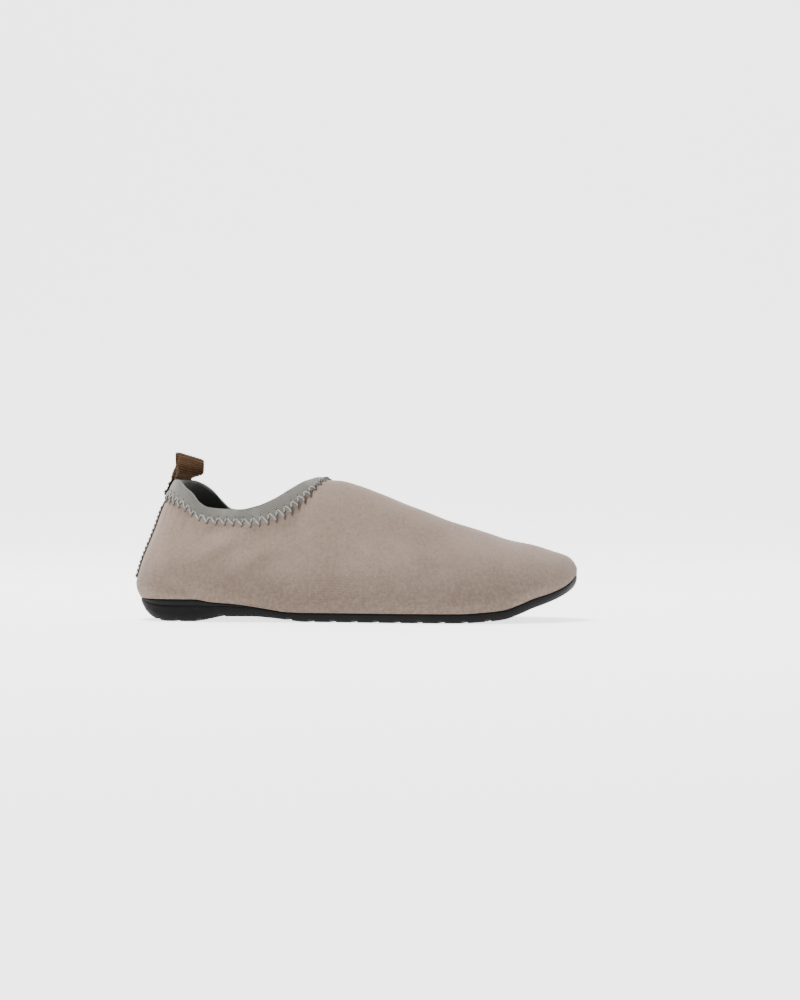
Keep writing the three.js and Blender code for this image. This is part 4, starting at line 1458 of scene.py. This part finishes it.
@dataclass(frozen=True)
class PullLoop:
    """Ribbed webbing folded into a loop and sewn to the collar beside the heel seam.

    The bow leaves the tails' line by (depth / 2)(spread sin 2t + belly |sin t|^1.5), the
    second term outwards on the way up and inwards on the way down, and rises by
    rise |sin t|^0.8, with t from 0 to pi.
    """

    width: float = 15.5
    thickness: float = 1.4
    tail: float = 9.0
    offset: float = 11.0
    rise: float = 13.4
    depth: float = 10.5
    slump: float = 0.3
    ahead: float = 5.0
    beside: float = 15.5
    heading: float = 16.0
    spread: float = 0.62
    belly: float = 0.55
    settled: float = 0.5
    rows: int = 300
    columns: int = 26
    rib: float = 1.5
    rib_height: float = 0.14
    tail_share: float = 0.14
    tack_levels: tuple[float, ...] = (-2.2, -6.8)
    tack_count: int = 15
    tack_slant: tuple[float, float] = (0.55, 0.8)
    tack_thread: float = 0.33

    def layers(self) -> tuple[float, float]:
        """Returns how far out the inner and the outer tail lie."""
        inner = LAST.binding_gap + LAST.tape + LAST.gap + self.thickness / 2
        return inner, inner + self.thickness + LAST.gap

    def path(self) -> tuple[np.ndarray, np.ndarray]:
        """Returns the webbing's middle line: distance out and height above the collar."""
        inner, outer = self.layers()
        tail = int(self.rows * self.tail_share)
        share = np.linspace(0, 1, self.rows - 2 * tail)
        fall = -self.tail * np.linspace(1, 0, tail, endpoint=False)
        turn = np.pi * share
        belly = self.belly * np.abs(np.sin(turn)) ** 1.5 * np.where(share < 0.5, 1, -1)
        bow = (self.depth / 2) * (self.spread * np.sin(2 * turn) + belly)
        up = self.rise * np.abs(np.sin(turn)) ** 0.8
        out = outer + (inner - outer) * share + bow
        return (np.concatenate([np.full(tail, outer), out, np.full(tail, inner)]),
                np.concatenate([fall, up, fall[::-1]]))

    def place(self, out: np.ndarray, up: np.ndarray, across: np.ndarray) -> np.ndarray:
        """Points of the webbing in the shoe.

        Args:
            out: distance outside the heel's surface.
            up: height above the collar's edge, negative along the tails.
            across: distance from the middle of the webbing, positive ahead.

        Returns:
            Tails that follow the heel, and a bow that eases into a straight stand.
        """
        side = np.full(1, MEDIAL)
        seam = LAST.upper(np.zeros(1), side, LAST.edge_angle(np.zeros(1), side), np.zeros(1))[0]
        out, up, across = np.broadcast_arrays(out, up, across)
        free = up > 0
        point = LAST.heel_point(seam[2] + np.minimum(up, 0), across + self.offset, -out)
        share = smooth_step(up, 0.0, self.rise * self.settled)
        turn, away = math.radians(self.heading), out - self.layers()[0]
        x = seam[0] + self.ahead + across * math.cos(turn) - away * math.sin(turn)
        y = self.beside + across * math.sin(turn) + away * math.cos(turn)
        z = np.where(free, seam[2] + up - across * self.slump * share, point[..., 2])
        return np.stack([point[..., 0] + (x - point[..., 0]) * share,
                         point[..., 1] + (y - point[..., 1]) * share, z], axis=-1)

    def build(self) -> list[bpy.types.Object]:
        """Builds and dresses the webbing and the tack that holds it."""
        out, up = self.path()
        d_out, d_up = np.gradient(out), np.gradient(up)
        run = np.maximum(np.hypot(d_out, d_up), 1e-6)
        length = np.concatenate([[0], np.cumsum(np.hypot(np.diff(out), np.diff(up)))])
        share = np.linspace(1, -1, self.columns)[None, :]
        across = share * (self.width / 2 + 0.12 * np.sin(2 * np.pi * length / self.rib)[:, None])
        ribs = self.rib_height * np.cos(2 * np.pi * length / self.rib)[:, None]
        soft = np.clip(1 - share ** 8, 0, 1) ** 0.5
        half = (self.thickness / 2 - self.rib_height) * (0.45 + 0.55 * soft) + ribs * soft
        n_out, n_up = (d_up / run)[:, None], (-d_out / run)[:, None]
        front = self.place(out[:, None] + half * n_out, up[:, None] + half * n_up, across)
        back = self.place(out[:, None] - half * n_out, up[:, None] - half * n_up, across)
        webbing = new_piece("pull_loop_webbing", *ribbon(front, back))
        finish_piece(webbing, LoopWebbing().material(), Slot.WEBBING, "pull_loop")
        s = np.linspace(-1, 1, 9)
        places = np.linspace(-0.44, 0.44, self.tack_count)[:, None] * self.width
        rise = np.where(np.arange(self.tack_count) % 2 == 0, 1, -1)[:, None]
        depth = LAST.binding_gap + LAST.tape + 2 * (self.thickness + LAST.gap) + 0.12
        paths, outs = [], []
        for level in self.tack_levels:
            y = places + self.tack_slant[0] * s
            z = level + self.tack_slant[1] * rise * s
            height = depth + 0.22 * np.sqrt(1 - s ** 2) + 0 * y
            paths.append(self.place(height, z, y))
            outs.append(self.place(height + 1.0, z, y) - paths[-1])
        tack = threads("loop_tack", np.concatenate(paths), np.concatenate(outs),
                       self.tack_thread)
        finish_piece(tack, Thread("brown_thread", (0.110, 0.060, 0.028)).material(), Slot.WEBBING)
        return [webbing, tack]


# Studio


@dataclass(frozen=True)
class Lamp:
    """Square area light: place and side in metres, power in watts."""

    name: str
    place: tuple[float, float, float]
    size: float
    power: float

    def build(self, aim: Vector) -> None:
        """Adds the light, turned to look at a point.

        Args:
            aim: the point.
        """
        lamp = bpy.data.lights.new(self.name, "AREA")
        lamp.shape, lamp.size, lamp.energy = "SQUARE", self.size, self.power
        holder = bpy.data.objects.new(self.name, lamp)
        holder.location = self.place
        ahead = aim - Vector(self.place)
        holder.rotation_euler = ahead.to_track_quat("-Z", "Y").to_euler()
        bpy.context.scene.collection.objects.link(holder)


@dataclass(frozen=True)
class Studio:
    """Pale sweep, soft lights and the camera."""

    azimuth: float = 5.0
    elevation: float = 1.0
    lens: float = 100.0
    sensor: float = 36.0
    photo_scale: float = 0.578
    photo_height: int = 1000
    shift: tuple[float, float] = (0.0450, 0.0357)
    aim: tuple[float, float, float] = (0.0, 0.0, 0.0485)
    pale: Colour = (0.86, 0.86, 0.86)
    glow: float = 2.3
    ambient: float = 0.34
    front: float = -3.0
    bend_start: float = 1.6
    bend_radius: float = 1.2
    wall_height: float = 4.0
    half_width: float = 4.0
    lamps: tuple[Lamp, ...] = (Lamp("overhead", (-0.45, 0.25, 1.9), 0.7, 72.0),
                               Lamp("fill", (1.2, -1.8, 1.2), 1.2, 5.0))

    def sweep(self) -> None:
        """Builds a floor that curves up into a wall."""
        turn = np.linspace(0, math.pi / 2, 24)
        depth = np.concatenate([[self.front], self.bend_start + self.bend_radius * np.sin(turn),
                                [self.bend_start + self.bend_radius]])
        height = np.concatenate([[0.0], self.bend_radius * (1 - np.cos(turn)),
                                 [self.wall_height]])
        width = np.array([-self.half_width, self.half_width])
        y, x = np.meshgrid(depth, width, indexing="ij")
        z = np.broadcast_to(height[:, None], y.shape)
        points = (np.stack([x, y, z], axis=-1) - SHIFT) / MM
        index = np.arange(points.size // 3).reshape(points.shape[:2])
        backdrop = new_piece("sweep", points, strip_faces(index, False))
        paint = Shader("sweep_paint", Roughness=0.9, Specular_IOR_Level=0.1,
                       Base_Color=(*self.pale, 1.0), Emission_Color=(1.0, 1.0, 1.0, 1.0),
                       Emission_Strength=self.glow)
        backdrop.data.materials.append(paint.material)

    def camera(self) -> None:
        """Sets the camera at the photo's angle, framed as in the photo."""
        lens = bpy.data.cameras.new("camera")
        lens.lens, lens.sensor_width = self.lens, self.sensor
        lens.shift_x, lens.shift_y = self.shift
        holder = bpy.data.objects.new("camera", lens)
        distance = self.photo_height * self.photo_scale * MM * self.lens / self.sensor
        azimuth, elevation = math.radians(self.azimuth), math.radians(self.elevation)
        back = Vector((math.sin(azimuth) * math.cos(elevation),
                       -math.cos(azimuth) * math.cos(elevation), math.sin(elevation)))
        holder.location = Vector(self.aim) + back * distance
        holder.rotation_euler = (-back).to_track_quat("-Z", "Y").to_euler()
        bpy.context.scene.collection.objects.link(holder)
        bpy.context.scene.camera = holder

    def build(self) -> None:
        """Builds the whole studio."""
        self.sweep()
        for lamp in self.lamps:
            lamp.build(Vector(self.aim))
        world = bpy.data.worlds.new("studio")
        world.use_nodes = True
        sky = world.node_tree.nodes["Background"].inputs
        sky["Color"].default_value = (1.0, 1.0, 1.0, 1.0)
        sky["Strength"].default_value = self.ambient
        bpy.context.scene.world = world
        self.camera()


def main() -> None:
    """Builds the shoe and its studio."""
    logging.basicConfig(level=logging.INFO, format="%(name)s: %(message)s")
    parts = (Outsole(), Insole(), Upper(), Collar(), HeelTape(), PullLoop())
    made = [piece for part in parts for piece in part.build()]
    Studio().build()


if __name__ == "__main__":
    main()
